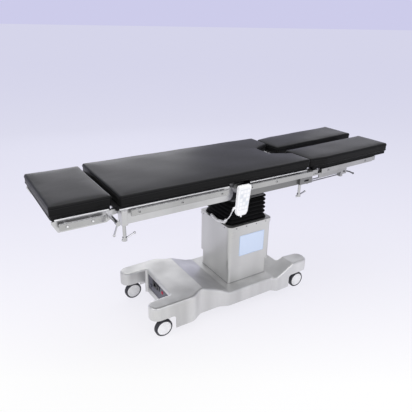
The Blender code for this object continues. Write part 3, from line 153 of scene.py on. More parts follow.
def texture_space(tree_nodes, links, scale):
    coord = tree_nodes.new("ShaderNodeTexCoord")
    mapping = tree_nodes.new("ShaderNodeMapping")
    mapping.inputs["Scale"].default_value = scale
    links.new(coord.outputs["Object"], mapping.inputs["Vector"])
    return mapping


def noise(tree_nodes, links, mapping, scale, detail=3.0, rough=0.55):
    made = tree_nodes.new("ShaderNodeTexNoise")
    made.inputs["Scale"].default_value = scale
    made.inputs["Detail"].default_value = detail
    made.inputs["Roughness"].default_value = rough
    links.new(mapping.outputs["Vector"], made.inputs["Vector"])
    return made


def ramp(tree_nodes, links, source, low, high, a, b):
    made = tree_nodes.new("ShaderNodeMapRange")
    made.inputs["From Min"].default_value = low
    made.inputs["From Max"].default_value = high
    made.inputs["To Min"].default_value = a
    made.inputs["To Max"].default_value = b
    links.new(source, made.inputs["Value"])
    return made


def tint(tree_nodes, links, factor, dark, light):
    made = tree_nodes.new("ShaderNodeMix")
    made.data_type = "RGBA"
    made.inputs["A"].default_value = (*dark, 1.0)
    made.inputs["B"].default_value = (*light, 1.0)
    links.new(factor, made.inputs["Factor"])
    return made


def bump(tree_nodes, links, height, shader, strength, distance, before=None):
    made = tree_nodes.new("ShaderNodeBump")
    made.inputs["Strength"].default_value = strength
    made.inputs["Distance"].default_value = distance
    links.new(height, made.inputs["Height"])
    if before is not None:
        links.new(before.outputs["Normal"], made.inputs["Normal"])
    links.new(made.outputs["Normal"], shader.inputs["Normal"])
    return made


def brushed(name, colour, roughness, stretch, grime=0.05, grain_and_painted_band_spread=0.10, metallic=1.0):
    # Brushed stainless: fine lines along one direction, broad cloudy sheen, faint handling marks, and broad
    # upright light and dark bands painted into the colour as painted reflections of curved polished steel.
    line_share, painted_band_share = 0.35, 0.65
    made, n, l, shader = new_material(name, colour, roughness, metallic)
    fine = noise(n, l, texture_space(n, l, stretch), 1.0, 4.0, 0.6)
    broad = noise(n, l, texture_space(n, l, (1, 1, 1)), 2.6, 3.0, 0.5)
    marks = noise(n, l, texture_space(n, l, (1, 1, 1)), 18.0, 5.0, 0.62)
    lines = ramp(n, l, fine.outputs["Fac"], 0.30, 0.70, -0.035, 0.035)
    cloud = ramp(n, l, broad.outputs["Fac"], 0.30, 0.70, -0.045, 0.045)
    smear = ramp(n, l, marks.outputs["Fac"], 0.52, 0.75, 0.0, grime)
    total = n.new("ShaderNodeMath")
    total.operation = "ADD"
    l.new(lines.outputs["Result"], total.inputs[0])
    l.new(cloud.outputs["Result"], total.inputs[1])
    rough = n.new("ShaderNodeMath")
    rough.operation = "ADD"
    l.new(total.outputs[0], rough.inputs[0])
    l.new(smear.outputs["Result"], rough.inputs[1])
    final = n.new("ShaderNodeMath")
    final.operation = "ADD"
    final.inputs[1].default_value = roughness
    l.new(rough.outputs[0], final.inputs[0])
    l.new(final.outputs[0], shader.inputs["Roughness"])
    shade = ramp(n, l, total.outputs[0], -0.08, 0.08, 0.0, 1.0)
    # Painted reflection: broad upright bands of lighter and darker colour stand in for the reflection bands
    # on curved polished steel.
    painted_band_noise = noise(n, l, texture_space(n, l, (7.0, 7.0, 0.6)), 1.0, 2.0, 0.45)
    painted_band_mask = ramp(n, l, painted_band_noise.outputs["Fac"], 0.34, 0.66, 0.0, 1.0)
    mixed = n.new("ShaderNodeMath")
    mixed.operation = "MULTIPLY_ADD"
    mixed.inputs[1].default_value = line_share
    l.new(shade.outputs["Result"], mixed.inputs[0])
    weighed = n.new("ShaderNodeMath")
    weighed.operation = "MULTIPLY"
    weighed.inputs[1].default_value = painted_band_share
    l.new(painted_band_mask.outputs["Result"], weighed.inputs[0])
    l.new(weighed.outputs[0], mixed.inputs[2])
    dark = tuple(c * (1.0 - grain_and_painted_band_spread * 1.3) for c in colour)
    light = tuple(min(1.0, c * (1.0 + grain_and_painted_band_spread)) for c in colour)
    colours = tint(n, l, mixed.outputs[0], dark, light)
    l.new(colours.outputs["Result"], shader.inputs["Base Color"])
    bump(n, l, fine.outputs["Fac"], shader, 0.10, 0.0002)
    return made


def upholstery(name, colour):
    # Coated cloth: fine pebble grain, long soft creases, slightly worn and duller in broad random patches.
    made, n, l, shader = new_material(name, colour, 0.32, 0.0, 0.12)
    cells = n.new("ShaderNodeTexVoronoi")
    cells.feature = "SMOOTH_F1"
    cells.inputs["Scale"].default_value = 900.0
    cells.inputs["Smoothness"].default_value = 0.6
    space = texture_space(n, l, (1, 1, 1))
    l.new(space.outputs["Vector"], cells.inputs["Vector"])
    pores = noise(n, l, texture_space(n, l, (1, 1, 1)), 420.0, 3.0, 0.6)
    crease = noise(n, l, texture_space(n, l, (1.0, 2.2, 2.2)), 6.0, 4.0, 0.55)
    wear = noise(n, l, texture_space(n, l, (1, 1, 1)), 3.4, 3.0, 0.5)
    dull = ramp(n, l, wear.outputs["Fac"], 0.30, 0.72, 0.30, 0.37)
    l.new(dull.outputs["Result"], shader.inputs["Roughness"])
    shade = ramp(n, l, wear.outputs["Fac"], 0.30, 0.75, 0.0, 1.0)
    colours = tint(n, l, shade.outputs["Result"], tuple(c * 0.86 for c in colour),
                   tuple(c * 1.20 for c in colour))
    l.new(colours.outputs["Result"], shader.inputs["Base Color"])
    first = bump(n, l, crease.outputs["Fac"], shader, 0.35, 0.0015)
    second = bump(n, l, pores.outputs["Fac"], shader, 0.10, 0.0003, first)
    bump(n, l, cells.outputs["Distance"], shader, 0.16, 0.0003, second)
    shader.inputs["Sheen Weight"].default_value = 0.02
    shader.inputs["Sheen Roughness"].default_value = 0.5
    return made


def moulded(name, colour, roughness, grain=260.0, strength=0.08, spread=0.06, specular=0.5, tone=0.10):
    # Moulded plastic, rubber or paint: fine grain, uneven sheen, faint change of tone.
    made, n, l, shader = new_material(name, colour, roughness, 0.0, specular)
    fine = noise(n, l, texture_space(n, l, (1, 1, 1)), grain, 3.0, 0.6)
    broad = noise(n, l, texture_space(n, l, (1, 1, 1)), 11.0, 4.0, 0.55)
    sheen = ramp(n, l, broad.outputs["Fac"], 0.3, 0.7, roughness - spread, roughness + spread)
    l.new(sheen.outputs["Result"], shader.inputs["Roughness"])
    shade = ramp(n, l, broad.outputs["Fac"], 0.3, 0.7, 0.0, 1.0)
    colours = tint(n, l, shade.outputs["Result"], tuple(c * (1 - tone) for c in colour),
                   tuple(min(1.0, c * (1 + tone * 0.6)) for c in colour))
    l.new(colours.outputs["Result"], shader.inputs["Base Color"])
    bump(n, l, fine.outputs["Fac"], shader, strength, 0.0004)
    return made


# The number after the grime sets the depth of the grain tone and of the painted reflection bands; the base
# cover's steel has the deepest painted bands.
cover_steel = brushed("cover_steel", (0.60, 0.60, 0.59), 0.34, (14, 14, 900), 0.05, 0.10, 0.8)
base_steel = brushed("base_steel", (0.67, 0.67, 0.66), 0.38, (900, 16, 16), 0.05, 0.19, 0.8)
frame_steel = brushed("frame_steel", (0.57, 0.57, 0.575), 0.30, (12, 700, 900))
lower_steel = brushed("lower_steel", (0.60, 0.60, 0.59), 0.38, (14, 14, 900), 0.05, 0.10, 0.6)
leg_steel = brushed("leg_steel", (0.42, 0.42, 0.42), 0.30, (12, 700, 900))
rim_dark = brushed("rim_dark", (0.16, 0.16, 0.165), 0.30, (500, 500, 500))
seat_steel = brushed("seat_steel", (0.24, 0.24, 0.24), 0.34, (12, 700, 900))
rail_steel = brushed("rail_steel", (0.45, 0.45, 0.45), 0.22, (8, 700, 1100), 0.03)
# Trim steel painted near white: a painted highlight along the boards' edges.
trim_highlight_steel = brushed("trim_highlight_steel", (0.93, 0.93, 0.93), 0.34, (8, 700, 1100), 0.03, 0.04, 0.35)
screw_steel = brushed("screw_steel", (0.52, 0.52, 0.53), 0.18, (500, 500, 500), 0.04)
mechanism = moulded("mechanism_paint", (0.10, 0.10, 0.105), 0.42, 320.0, 0.12)
black_vinyl = upholstery("black_vinyl", (0.0055, 0.0055, 0.0058))
seam_thread = moulded("seam_thread", (0.012, 0.012, 0.0125), 0.62, 900.0, 0.2, 0.05, 0.25)
board_black = moulded("board_black", (0.006, 0.006, 0.0065), 0.55, 240.0, 0.10, 0.06, 0.12)
tyre_rubber = moulded("tyre_rubber", (0.030, 0.031, 0.038), 0.62, 420.0, 0.14)
hub_white = moulded("hub_white", (0.975, 0.975, 0.97), 0.30, 300.0, 0.05)
fork_dark = moulded("fork_dark", (0.045, 0.045, 0.060), 0.40, 300.0, 0.10)
bellows_black = moulded("bellows_cloth", (0.0045, 0.0045, 0.0048), 0.74, 700.0, 0.22, 0.05, 0.18)
handset_white = moulded("handset_white", (0.93, 0.93, 0.935), 0.34, 500.0, 0.06, 0.05, 0.5, 0.03)
key_grey = moulded("key_grey", (0.80, 0.82, 0.84), 0.45, 420.0, 0.05)
key_blue = moulded("key_blue", (0.74, 0.77, 0.81), 0.45, 420.0, 0.05)
cord_pale = moulded("cord_pale", (0.94, 0.94, 0.945), 0.42, 600.0, 0.10, 0.05, 0.5, 0.03)
panel_grey = moulded("panel_grey", (0.11, 0.11, 0.14), 0.42, 420.0, 0.10)
socket_black = moulded("socket_black", (0.010, 0.010, 0.011), 0.36, 420.0, 0.06)
lamp_red = moulded("lamp_red", (0.55, 0.010, 0.045), 0.22, 200.0, 0.02)
plate_pale = moulded("plate_pale", (0.66, 0.76, 0.93), 0.34, 300.0, 0.03, 0.04, 0.4, 0.015)
plate_blue = moulded("plate_blue", (0.40, 0.50, 0.68), 0.34, 300.0, 0.03, 0.04, 0.4, 0.03)

by_name = {
    "base_cover": base_steel, "chassis_plate": mechanism, "column_guide": mechanism,
    "column_lower_cover": lower_steel, "column_upper_cover": cover_steel, "end_panel": panel_grey,
    "power_inlet": socket_black, "rocker_switch": socket_black, "indicator_lamp": lamp_red,
    "lift_carriage": mechanism, "tilt_saddle": mechanism, "seat_frame": seat_steel,
    "back_frame": frame_steel, "head_frame": frame_steel, "seat_board": board_black,
    "back_board": board_black, "head_board": board_black, "handset": handset_white,
    "bellows": bellows_black,
}
by_part = [
    ("rail", rail_steel), ("clamp", screw_steel), ("leg_frame", leg_steel), ("hinge_block", leg_steel),
    ("board", board_black), ("lever", mechanism), ("fork", fork_dark), ("hub", hub_white),
    ("tyre", tyre_rubber), ("pad", black_vinyl), ("cord", cord_pale),
]
for name, obj in nodes.items():
    chosen = by_name.get(name)
    if chosen is None:
        chosen = next(made for part, made in by_part if part in name)
    for slot in obj.material_slots:
        slot.material = chosen


# Mesh helpers.
def to_object(name, bm, made, smooth_deg=40.0):
    bmesh.ops.recalc_face_normals(bm, faces=bm.faces)
    data = bpy.data.meshes.new(name)
    bm.to_mesh(data)
    bm.free()
    obj = bpy.data.objects.new(name, data)
    scene.collection.objects.link(obj)
    data.materials.append(made)
    if smooth_deg is not None:
        for face in data.polygons:
            face.use_smooth = True
        data.set_sharp_from_angle(angle=math.radians(smooth_deg))
    return obj


def area(outline):
    total = 0.0
    for i in range(len(outline)):
        a, b = outline[i - 1], outline[i]
        total += a[0] * b[1] - b[0] * a[1]
    return total / 2


def inset(outline, distance):
    side = 1.0 if area(outline) > 0 else -1.0
    moved = []
    count = len(outline)
    for i in range(count):
        here = Vector(outline[i])
        u = (here - Vector(outline[i - 1])).normalized()
        w = (Vector(outline[(i + 1) % count]) - here).normalized()
        nu = Vector((-u.y, u.x)) * side
        nw = Vector((-w.y, w.x)) * side
        middle = (nu + nw).normalized()
        step = distance / max(0.3, middle.dot(nu))
        moved.append((here.x + middle.x * step, here.y + middle.y * step))
    return moved


def stack(outline, levels, cap=True):
    bm = bmesh.new()
    rings = []
    for z, distance in levels:
        shape = inset(outline, distance) if distance else outline
        rings.append([bm.verts.new((a, b, z)) for a, b in shape])
    count = len(outline)
    for low, high in zip(rings, rings[1:]):
        for i in range(count):
            j = (i + 1) % count
            bm.faces.new((low[i], low[j], high[j], high[i]))
    if cap:
        bm.faces.new(rings[0])
        bm.faces.new(rings[-1])
    return bm


def rod(bm, start, end, radius, sides=20):
    start = Vector(start)
    end = Vector(end)
    turn = Vector((0, 0, 1)).rotation_difference((end - start).normalized())
    place = Matrix.Translation((start + end) / 2) @ turn.to_matrix().to_4x4()
    bmesh.ops.create_cone(bm, cap_ends=True, segments=sides, radius1=radius, radius2=radius,
                          depth=(end - start).length, matrix=place)


def bevel_look(obj, width, segments=2):
    made = obj.modifiers.new("edge", "BEVEL")
    made.width = width
    made.segments = segments
    made.limit_method = "ANGLE"
    made.angle_limit = math.radians(35)
    made.harden_normals = False


def mirrored_outline(half):
    return list(half) + [(a, -b, r) for a, b, r in reversed(half)]


def tube(name, points, radius, made, closed=False, sides=2):
    curve = bpy.data.curves.new(name, "CURVE")
    curve.dimensions = "3D"
    curve.bevel_depth = radius
    curve.bevel_resolution = sides
    curve.use_fill_caps = not closed
    spline = curve.splines.new("POLY")
    spline.points.add(len(points) - 1)
    for point, place in zip(spline.points, points):
        point.co = (place[0], place[1], place[2], 1.0)
    spline.use_cyclic_u = closed
    obj = bpy.data.objects.new(name, curve)
    scene.collection.objects.link(obj)
    curve.materials.append(made)
    return obj


def as_mesh(obj):
    # Turns a curve object into a mesh object of the same name.
    name = obj.name
    graph = bpy.context.evaluated_depsgraph_get()
    data = bpy.data.meshes.new_from_object(obj.evaluated_get(graph))
    world = obj.matrix_world.copy()
    bpy.data.objects.remove(obj, do_unlink=True)
    made = bpy.data.objects.new(name, data)
    made.matrix_world = world
    scene.collection.objects.link(made)
    for face in data.polygons:
        face.use_smooth = True
    return made


# The cord, its tapered strain reliefs, and the white boot fitted over the solid one.
cord_path = smooth_route(cord_places, 4)
cord = as_mesh(tube("hand_control_cord", cord_path, cord_radius, cord_pale, False, 4))
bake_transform(cord)
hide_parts("handset_cord")


def taper(name, start, way, length, radius_a, radius_b, body):
    # Ribbed strain relief that narrows from the housing to the cord.
    ribs = 5
    sides = 16
    groove = 0.0005
    profile = [(0.0, radius_a)]
    for k in range(ribs):
        base = radius_a + (radius_b - radius_a) * (k + 0.5) / ribs
        at = length * (k + 0.35) / ribs
        profile += [(at, base), (at + 0.0004, base - groove),
                    (at + 0.0012, base - groove), (at + 0.0016, base)]
    profile.append((length, radius_b))
    turn = Vector((0, 0, 1)).rotation_difference(way)
    bm = bmesh.new()
    rings = []
    for at, radius in profile:
        ring = []
        for k in range(sides):
            angle = 2 * math.pi * k / sides
            spot = Vector((radius * math.cos(angle), radius * math.sin(angle), at))
            ring.append(bm.verts.new(start + turn @ spot))
        rings.append(ring)
    for low, high in zip(rings, rings[1:]):
        for k in range(sides):
            bm.faces.new((low[k - 1], low[k], high[k], high[k - 1]))
    bm.faces.new(rings[0])
    bm.faces.new(rings[-1])
    piece = to_object(name, bm, cord_pale, 40)
    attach(piece, body)


first_way = (Vector(cord_path[1]) - Vector(cord_path[0])).normalized()
last_way = (Vector(cord_path[-2]) - Vector(cord_path[-1])).normalized()
relief_length = 0.0210
relief_end_radius = 0.0031
taper("cord_relief_upper", cord_start - first_way * 0.0030, first_way, relief_length, 0.0052,
      relief_end_radius, "handset_body")
taper("cord_relief_lower", cord_end - last_way * 0.0040, last_way, relief_length, 0.0074,
      relief_end_radius, "base")
boot_radius = 0.0090
boot_start = Vector(boot_route[0]) + Vector((0.0002, 0.0010, 0))
boot_cover = as_mesh(tube("cord_boot", [boot_start] + boot_route[1:], boot_radius, cord_pale, False, 4))
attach(boot_cover, "base")


# Cushions.
def cushion_mesh(name, corners, z0, z1, low_r=0.004, high_r=0.0075, cell=0.012):
    # Closed slab with rounded edges, its faces cut into small cells so that it can bend and swell.
    outline = rounded(corners, 12.0)
    arc_steps = 4
    bottom = []
    top = []
    for k in range(arc_steps + 1):
        t = math.pi / 2 * k / arc_steps
        bottom.append((z0 + low_r * (1 - math.sin(t)), low_r * (1 - math.cos(t))))
        top.append((z1 - high_r + high_r * math.sin(t), high_r * (1 - math.cos(t))))
    bm = stack(outline, sorted(bottom) + [((z0 + z1) / 2, 0.0)] + sorted(top))
    xs = [p[0] for p in outline]
    ys = [p[1] for p in outline]
    for low, high, normal in ((min(xs), max(xs), (1, 0, 0)), (min(ys), max(ys), (0, 1, 0))):
        count = max(2, int((high - low) / cell))
        for k in range(1, count):
            at = low + (high - low) * k / count
            bmesh.ops.bisect_plane(bm, geom=list(bm.verts) + list(bm.edges) + list(bm.faces),
                                   plane_co=Vector(normal) * at, plane_no=normal, dist=1e-6)
    return to_object(name, bm, black_vinyl, None), outline


def edge_distance(point, outline):
    best = 1e9
    for i in range(len(outline)):
        a = Vector(outline[i - 1])
        b = Vector(outline[i])
        ab = b - a
        t = max(0.0, min(1.0, (point - a).dot(ab) / max(1e-12, ab.length_squared)))
        best = min(best, (point - (a + ab * t)).length)
    return best


def crown(obj, outline, z0, z1, rise, hollow):
    # Top swells towards the middle, the sides pull in a little at mid height.
    for v in obj.data.vertices:
        x, y, z = v.co
        flat = Vector((x, y))
        d = edge_distance(flat, outline)
        up = (z - z0) / (z1 - z0)
        if up > 0.55:
            waves = 0.0006 * math.sin(x * 21 + 1.3) * math.sin(y * 17 + 0.4)
            risen = rise * (1 - math.exp(-d / 0.035)) + waves
            v.co.z = z + risen * (up - 0.55) / 0.45 - 0.0012
        elif d < 0.012:
            pull = hollow * math.sin(math.pi * max(0.0, min(1.0, up)))
            centre = Vector((sum(p[0] for p in outline), sum(p[1] for p in outline))) / len(outline)
            away = (flat - centre).normalized()
            v.co.x -= away.x * pull
            v.co.y -= away.y * pull
    for face in obj.data.polygons:
        face.use_smooth = True


def swell(pad, cap, last_frame=20):
    # Air pressure fills the closed cover; no point moves further than the cap, and the base stays flat.
    before = [v.co.copy() for v in pad.data.vertices]
    floor_z = min(v.z for v in before)
    cloth = pad.modifiers.new("fill", "CLOTH")
    cloth.settings.quality = 4
    cloth.settings.use_pressure = True
    cloth.settings.uniform_pressure_force = 4.0
    cloth.settings.effector_weights.gravity = 0.0
    cloth.collision_settings.use_collision = False
    cloth.point_cache.frame_start = 1
    cloth.point_cache.frame_end = last_frame
    for moment in range(1, last_frame + 1):
        scene.frame_set(moment)
    result = pad.evaluated_get(bpy.context.evaluated_depsgraph_get())
    after = [v.co.copy() for v in result.data.vertices]
    pad.modifiers.remove(cloth)
    scene.frame_set(1)
    for vertex, a, b in zip(pad.data.vertices, before, after):
        move = b - a
        if a.z < floor_z + 0.003:
            move.z = max(0.0, move.z)
        if move.length > cap:
            move *= cap / move.length
        vertex.co = a + move


def dense(outline, cell=0.012):
    # The same outline with points added, so that what follows it can bend with its cushion.
    points = []
    for i in range(len(outline)):
        a = Vector(outline[i - 1])
        b = Vector(outline[i])
        count = max(1, math.ceil((b - a).length / cell))
        for k in range(count):
            place = a.lerp(b, k / count)
            points.append((place.x, place.y))
    return points


def seam(name, outline, z, out, radius):
    shape = dense(inset(outline, -out))
    return as_mesh(tube(name, [(a, b, z) for a, b in shape], radius, seam_thread, True, 2))


pad_bottom = 0.817
pad_top = 0.865
leg_up = math.radians(1.3)
leg_drop = 0.0085
crown_rise = 0.0016
side_hollow = 0.0010
swell_cap = 0.0022


def leg_turn(obj, side):
    pivot = Vector((0.436, side * 0.235, 0.776))
    turn = Matrix.Translation(pivot) @ Matrix.Rotation(-leg_up, 4, "Y") @ Matrix.Translation(-pivot)
    obj.data.transform(turn)


def dress(name, corners, z0, z1, body, replaced, side=None, bend=None):
    pad, outline = cushion_mesh(name, corners, z0 + 0.0004, z1)
    crown(pad, outline, z0, z1, crown_rise, side_hollow)
    swell(pad, swell_cap)
    pieces = [pad,
              seam(name + "_top_seam", outline, z1 - 0.0125, 0.0002, 0.0008),
              seam(name + "_low_seam", outline, z0 + 0.0080, -0.0001, 0.0006)]
    for piece in pieces:
        if side is not None:
            leg_turn(piece, side)
        if bend is None:
            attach(piece, body)
        else:
            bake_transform(piece)
    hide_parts(*replaced)


head_half = 0.241
dress("head_cushion", mirrored_outline([(-1.031, head_half, 0.012), (-0.763, head_half, 0.012)]),
      pad_bottom, pad_top, "head", ["head_pad"])
dress("main_cushion", mirrored_outline([(-0.739, 0.270, 0.012), (0.369, 0.270, 0.012), (0.369, 0.120, 0.010),
                                        (0.249, 0.058, 0.014)]),
      pad_bottom, pad_top, None, ["back_pad", "pad_fold", "seat_pad"],
      bend=("back", "seat", (-0.166, 0, 0.8), (-0.046, 0, 0.8)))
for tag, s in (("near", -1), ("far", 1)):
    inner, outer = s * 0.0345, s * 0.2625
    dress(f"leg_cushion_{tag}",
          [(0.389, inner, 0.012), (1.032, inner, 0.012), (1.032, outer, 0.012),
           (0.514, outer, 0.10), (0.389, outer - s * 0.020, 0.022)],
          pad_bottom - leg_drop, pad_top - leg_drop, f"leg_{tag}", [f"leg_pad_{tag}"], side=s)

# Bellows with pointed folds, between the column's rim and the carriage.
bellows_z0, bellows_z1 = 0.5053, 0.6397
tip = rounded(mirrored_outline([(-0.061, 0.134, 0.034), (0.199, 0.134, 0.034)]), 11.25)
levels = [(bellows_z0, -0.0045), (bellows_z0 + 0.0022, -0.0045), (bellows_z0 + 0.0024, 0.0004)]
folds = 5.5
steps = 88
for k in range(steps + 1):
    t = 0.02 + 0.98 * k / steps
    sharp = 1 - abs((2 * folds * t + 1) % 2 - 1)
    levels.append((bellows_z0 + (bellows_z1 - bellows_z0) * t, 0.0004 + 0.021 * sharp))
bm = stack(tip, levels, False)
sleeve = to_object("bellows_sleeve", bm, bellows_black, None)
for face in sleeve.data.polygons:
    face.use_smooth = True
thick = sleeve.modifiers.new("skin", "SOLIDIFY")
thick.thickness = 0.0018
thick.offset = -1.0
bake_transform(sleeve)
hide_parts("bellows")

# Bare label plate on the near face of the column, with a thin raised border.
plate_outline = rounded([(-0.008, 0.309, 0.006), (0.169, 0.309, 0.006), (0.169, 0.4395, 0.006),
                         (-0.008, 0.4395, 0.006)], 18.0)
plate_back_y = -0.1561
bm = bmesh.new()
borders = []
for depth, shift in ((0.0, 0.0), (0.0012, 0.0), (0.0016, 0.0008), (0.0016, 0.0030), (0.0011, 0.0036)):
    borders.append([bm.verts.new((a, plate_back_y - depth, b)) for a, b in inset(plate_outline, shift)])
for low, high in zip(borders, borders[1:]):
    for i in range(len(plate_outline)):
        j = (i + 1) % len(plate_outline)
        bm.faces.new((low[i], low[j], high[j], high[i]))
bm.faces.new(borders[0])
bm.faces.new(borders[-1])
plate = to_object("label_plate", bm, plate_pale, 30)
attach(plate, "base")


def line_round(name, places, radius, made):
    line = as_mesh(tube(name, places, radius, made, True, 2))
    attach(line, "base")


line_round("label_plate_edge", [(a, -0.1576, b) for a, b in inset(plate_outline, 0.0020)], 0.0008, plate_blue)
# Dark lines along the joints under the column's rim and where its foot meets the base cover; their darkness
# is painted shade that falls into these joints.
for name, x0, x1, half, corner, z in (("rim_joint", -0.079, 0.217, 0.156, 0.022, 0.4846),
                                      ("foot_joint", -0.0692, 0.2072, 0.1462, 0.014, 0.1386)):
    around = rounded(mirrored_outline([(x0, half, corner), (x1, half, corner)]), 12.0)
    line_round(name, [(a, b, z) for a, b in around], 0.0009, rim_dark)


# Thin steel trim along the long edges of the boards, under the cushions; its colour is painted far paler than
# the other steel, as a painted highlight along these edges.
def strip(name, x0, x1, y0, y1, z0, z1, body, made):
    bm = bmesh.new()
    middle = Matrix.Translation(((x0 + x1) / 2, (y0 + y1) / 2, (z0 + z1) / 2))
    size = Matrix.Diagonal((x1 - x0, abs(y1 - y0), z1 - z0, 1.0))
    bmesh.ops.create_cube(bm, size=1.0, matrix=middle @ size)
    bmesh.ops.bevel(bm, geom=list(bm.edges), offset=0.0007, segments=2, affect="EDGES", profile=0.5)
    piece = to_object(name, bm, made, 40)
    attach(piece, body)


trim_z0, trim_z1 = 0.8002, 0.8064
trim_out = 0.0034
for tag, s in (("near", -1), ("far", 1)):
    for part, x0, x1, half in (("head", -1.012, -0.781, 0.235), ("back", -0.744, -0.170, 0.264),
                               ("seat", -0.042, 0.351, 0.264)):
        strip(f"{part}_trim_{tag}", x0, x1, s * (half + 0.0002), s * (half + trim_out), trim_z0, trim_z1,
              part, trim_highlight_steel)


# Hexagon sockets of the rail screws, drawn as flat hexagons whose black is painted shade of the recess (white
# on the head rails), their raised rims, and the countersunk screws of the column's rim.
def discs(name, places, way, radius, height, sides, made, body, side=None):
    bm = bmesh.new()
    for place in places:
        start = Vector(place)
        rod(bm, start, start + Vector(way) * height, radius, sides)
    piece = to_object(name, bm, made, 30)
    if side is not None:
        leg_turn(piece, side)
    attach(piece, body)


def rings(name, places, way, radius, thick, made, body, side=None, around=20, across=6):
    bm = bmesh.new()
    turn = Vector((0, 0, 1)).rotation_difference(Vector(way))
    for place in places:
        loops = []
        for k in range(around):
            a = 2 * math.pi * k / around
            loop = []
            for m in range(across):
                b = 2 * math.pi * m / across
                reach = radius + thick * math.cos(b)
                spot = Vector((reach * math.cos(a), reach * math.sin(a), thick * math.sin(b)))
                loop.append(bm.verts.new(Vector(place) + turn @ spot))
            loops.append(loop)
        for k in range(around):
            for m in range(across):
                bm.faces.new((loops[k - 1][m - 1], loops[k - 1][m], loops[k][m], loops[k][m - 1]))
    piece = to_object(name, bm, made, None)
    for face in piece.data.polygons:
        face.use_smooth = True
    if side is not None:
        leg_turn(piece, side)
    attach(piece, body)


socket_radius, socket_height = 0.0038, 0.0012
screw_rim_radius, screw_rim_thick = 0.0077, 0.0006
rim_screw_radius, rim_screw_height, rim_screw_z = 0.0034, 0.0009, 0.4940
for tag, s in (("near", -1), ("far", 1)):
    way = (0, s, 0)
    for part, xs, face, z, body, side in (
            ("head", (-0.969, -0.862), 0.2667, 0.7783, "head", None),
            ("back", (-0.660, -0.445, -0.225), 0.2887, 0.7848, "back", None),
            ("seat", (-0.044, 0.120), 0.2887, 0.7848, "seat", None),
            ("leg", (0.527, 0.840), 0.2642, 0.7753, f"leg_{tag}", s)):
        # Black hexagons: painted shade in the socket recesses.
        made = handset_white if part == "head" else socket_black
        discs(f"{part}_screw_sockets_{tag}", [(x, s * (face - 0.0010), z) for x in xs], way,
              socket_radius, socket_height, 6, made, body, side)
        rings(f"{part}_screw_rims_{tag}", [(x, s * (face - 0.0014), z) for x in xs], way,
              screw_rim_radius, screw_rim_thick, screw_steel, body, side)
    discs(f"rim_screws_{tag}", [(x, s * 0.1597, rim_screw_z) for x in (-0.034, 0.034, 0.104, 0.172)], way,
          rim_screw_radius, rim_screw_height, 16, rim_dark, "base")
discs("rim_screws_head", [(-0.0827, y, rim_screw_z) for y in (-0.110, 0.110)], (-1, 0, 0),
      rim_screw_radius, rim_screw_height, 16, rim_dark, "base")

# Faint raised membrane on the hand control's face, with rows of plain keys.
face_y = -0.3160


def panel(name, corners, y_back, depth, edge, made):
    outline = rounded(corners, 20.0)
    bm = bmesh.new()
    made_rings = []
    for out, shift in ((0.0, 0.0), (depth - edge, 0.0), (depth, edge)):
        made_rings.append([bm.verts.new((a, y_back - out, b)) for a, b in inset(outline, shift)])
    for low, high in zip(made_rings, made_rings[1:]):
        for i in range(len(outline)):
            j = (i + 1) % len(outline)
            bm.faces.new((low[i], low[j], high[j], high[i]))
    bm.faces.new(made_rings[0])
    bm.faces.new(made_rings[-1])
    piece = to_object(name, bm, made, 30)
    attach(piece, "handset_body")


def on_handset(across, up):
    # Across runs -1 to 1 over the face's width, up is the height; the face leans and widens upwards.
    t = (up - 0.6731) / 0.1390
    middle = -0.1195 + 0.0140 * t
    half = 0.0340 + 0.0050 * t
    return middle + across * half, up


def corners_on_handset(left, right, low, high, radius):
    return [(*on_handset(left, low), radius), (*on_handset(right, low), radius),
            (*on_handset(right, high), radius), (*on_handset(left, high), radius)]


panel("handset_membrane", corners_on_handset(-0.80, 0.80, 0.6860, 0.7960, 0.004),
      face_y + 0.0004, 0.0010, 0.0003, key_grey)
key_rows, key_columns = 5, 3
key_first_z, key_pitch, key_height = 0.6915, 0.0208, 0.0150
for row in range(key_rows):
    for column in range(key_columns):
        low = key_first_z + key_pitch * row
        left = -0.70 + 0.50 * column
        panel(f"handset_key_{row}_{column}",
              corners_on_handset(left, left + 0.40, low, low + key_height, 0.002),
              face_y - 0.0004, 0.0009, 0.0004, key_blue if (row + column) % 4 == 3 else handset_white)

# Softened edges on the steel parts, so that they catch the light as folded and ground metal does.
for name, width in (("back_frame", 0.0008), ("seat_frame", 0.0008), ("head_frame", 0.0007),
                    ("leg_frame_near", 0.0007), ("leg_frame_far", 0.0007), ("column_lower_cover", 0.0006),
                    ("back_board", 0.0015), ("seat_board", 0.0015), ("head_board", 0.0015),
                    ("leg_board_near", 0.0015), ("leg_board_far", 0.0015)):
    bevel_look(nodes[name], width)

# Pale floor that fades to lavender in the distance, under a soft studio sky.
lavender = (0.610, 0.604, 0.825, 1)


def fade(ramp_node):
    stops = ((0.0, (0.690, 0.688, 0.868, 1)), (0.167, (0.735, 0.733, 0.885, 1)),
             (0.283, (0.770, 0.768, 0.895, 1)), (0.4265, (0.815, 0.808, 0.915, 1)),
             (0.807, (0.940, 0.932, 0.975, 1)), (1.0, (0.990, 0.990, 0.992, 1)))
    elements = ramp_node.color_ramp.elements
    while len(elements) < len(stops):
        elements.new(0.5)
    for element, (position, colour) in zip(elements, stops):
        element.position = position
        element.color = colour


def seen_directly(tree_nodes, links):
    # One where the camera or a glossy or clear surface looks at the backdrop, zero for its light.
    path = tree_nodes.new("ShaderNodeLightPath")
    both = tree_nodes.new("ShaderNodeMath")
    both.operation = "MAXIMUM"
    links.new(path.outputs["Is Camera Ray"], both.inputs[0])
    links.new(path.outputs["Is Glossy Ray"], both.inputs[1])
    every = tree_nodes.new("ShaderNodeMath")
    every.operation = "MAXIMUM"
    links.new(both.outputs[0], every.inputs[0])
    links.new(path.outputs["Is Transmission Ray"], every.inputs[1])
    return every


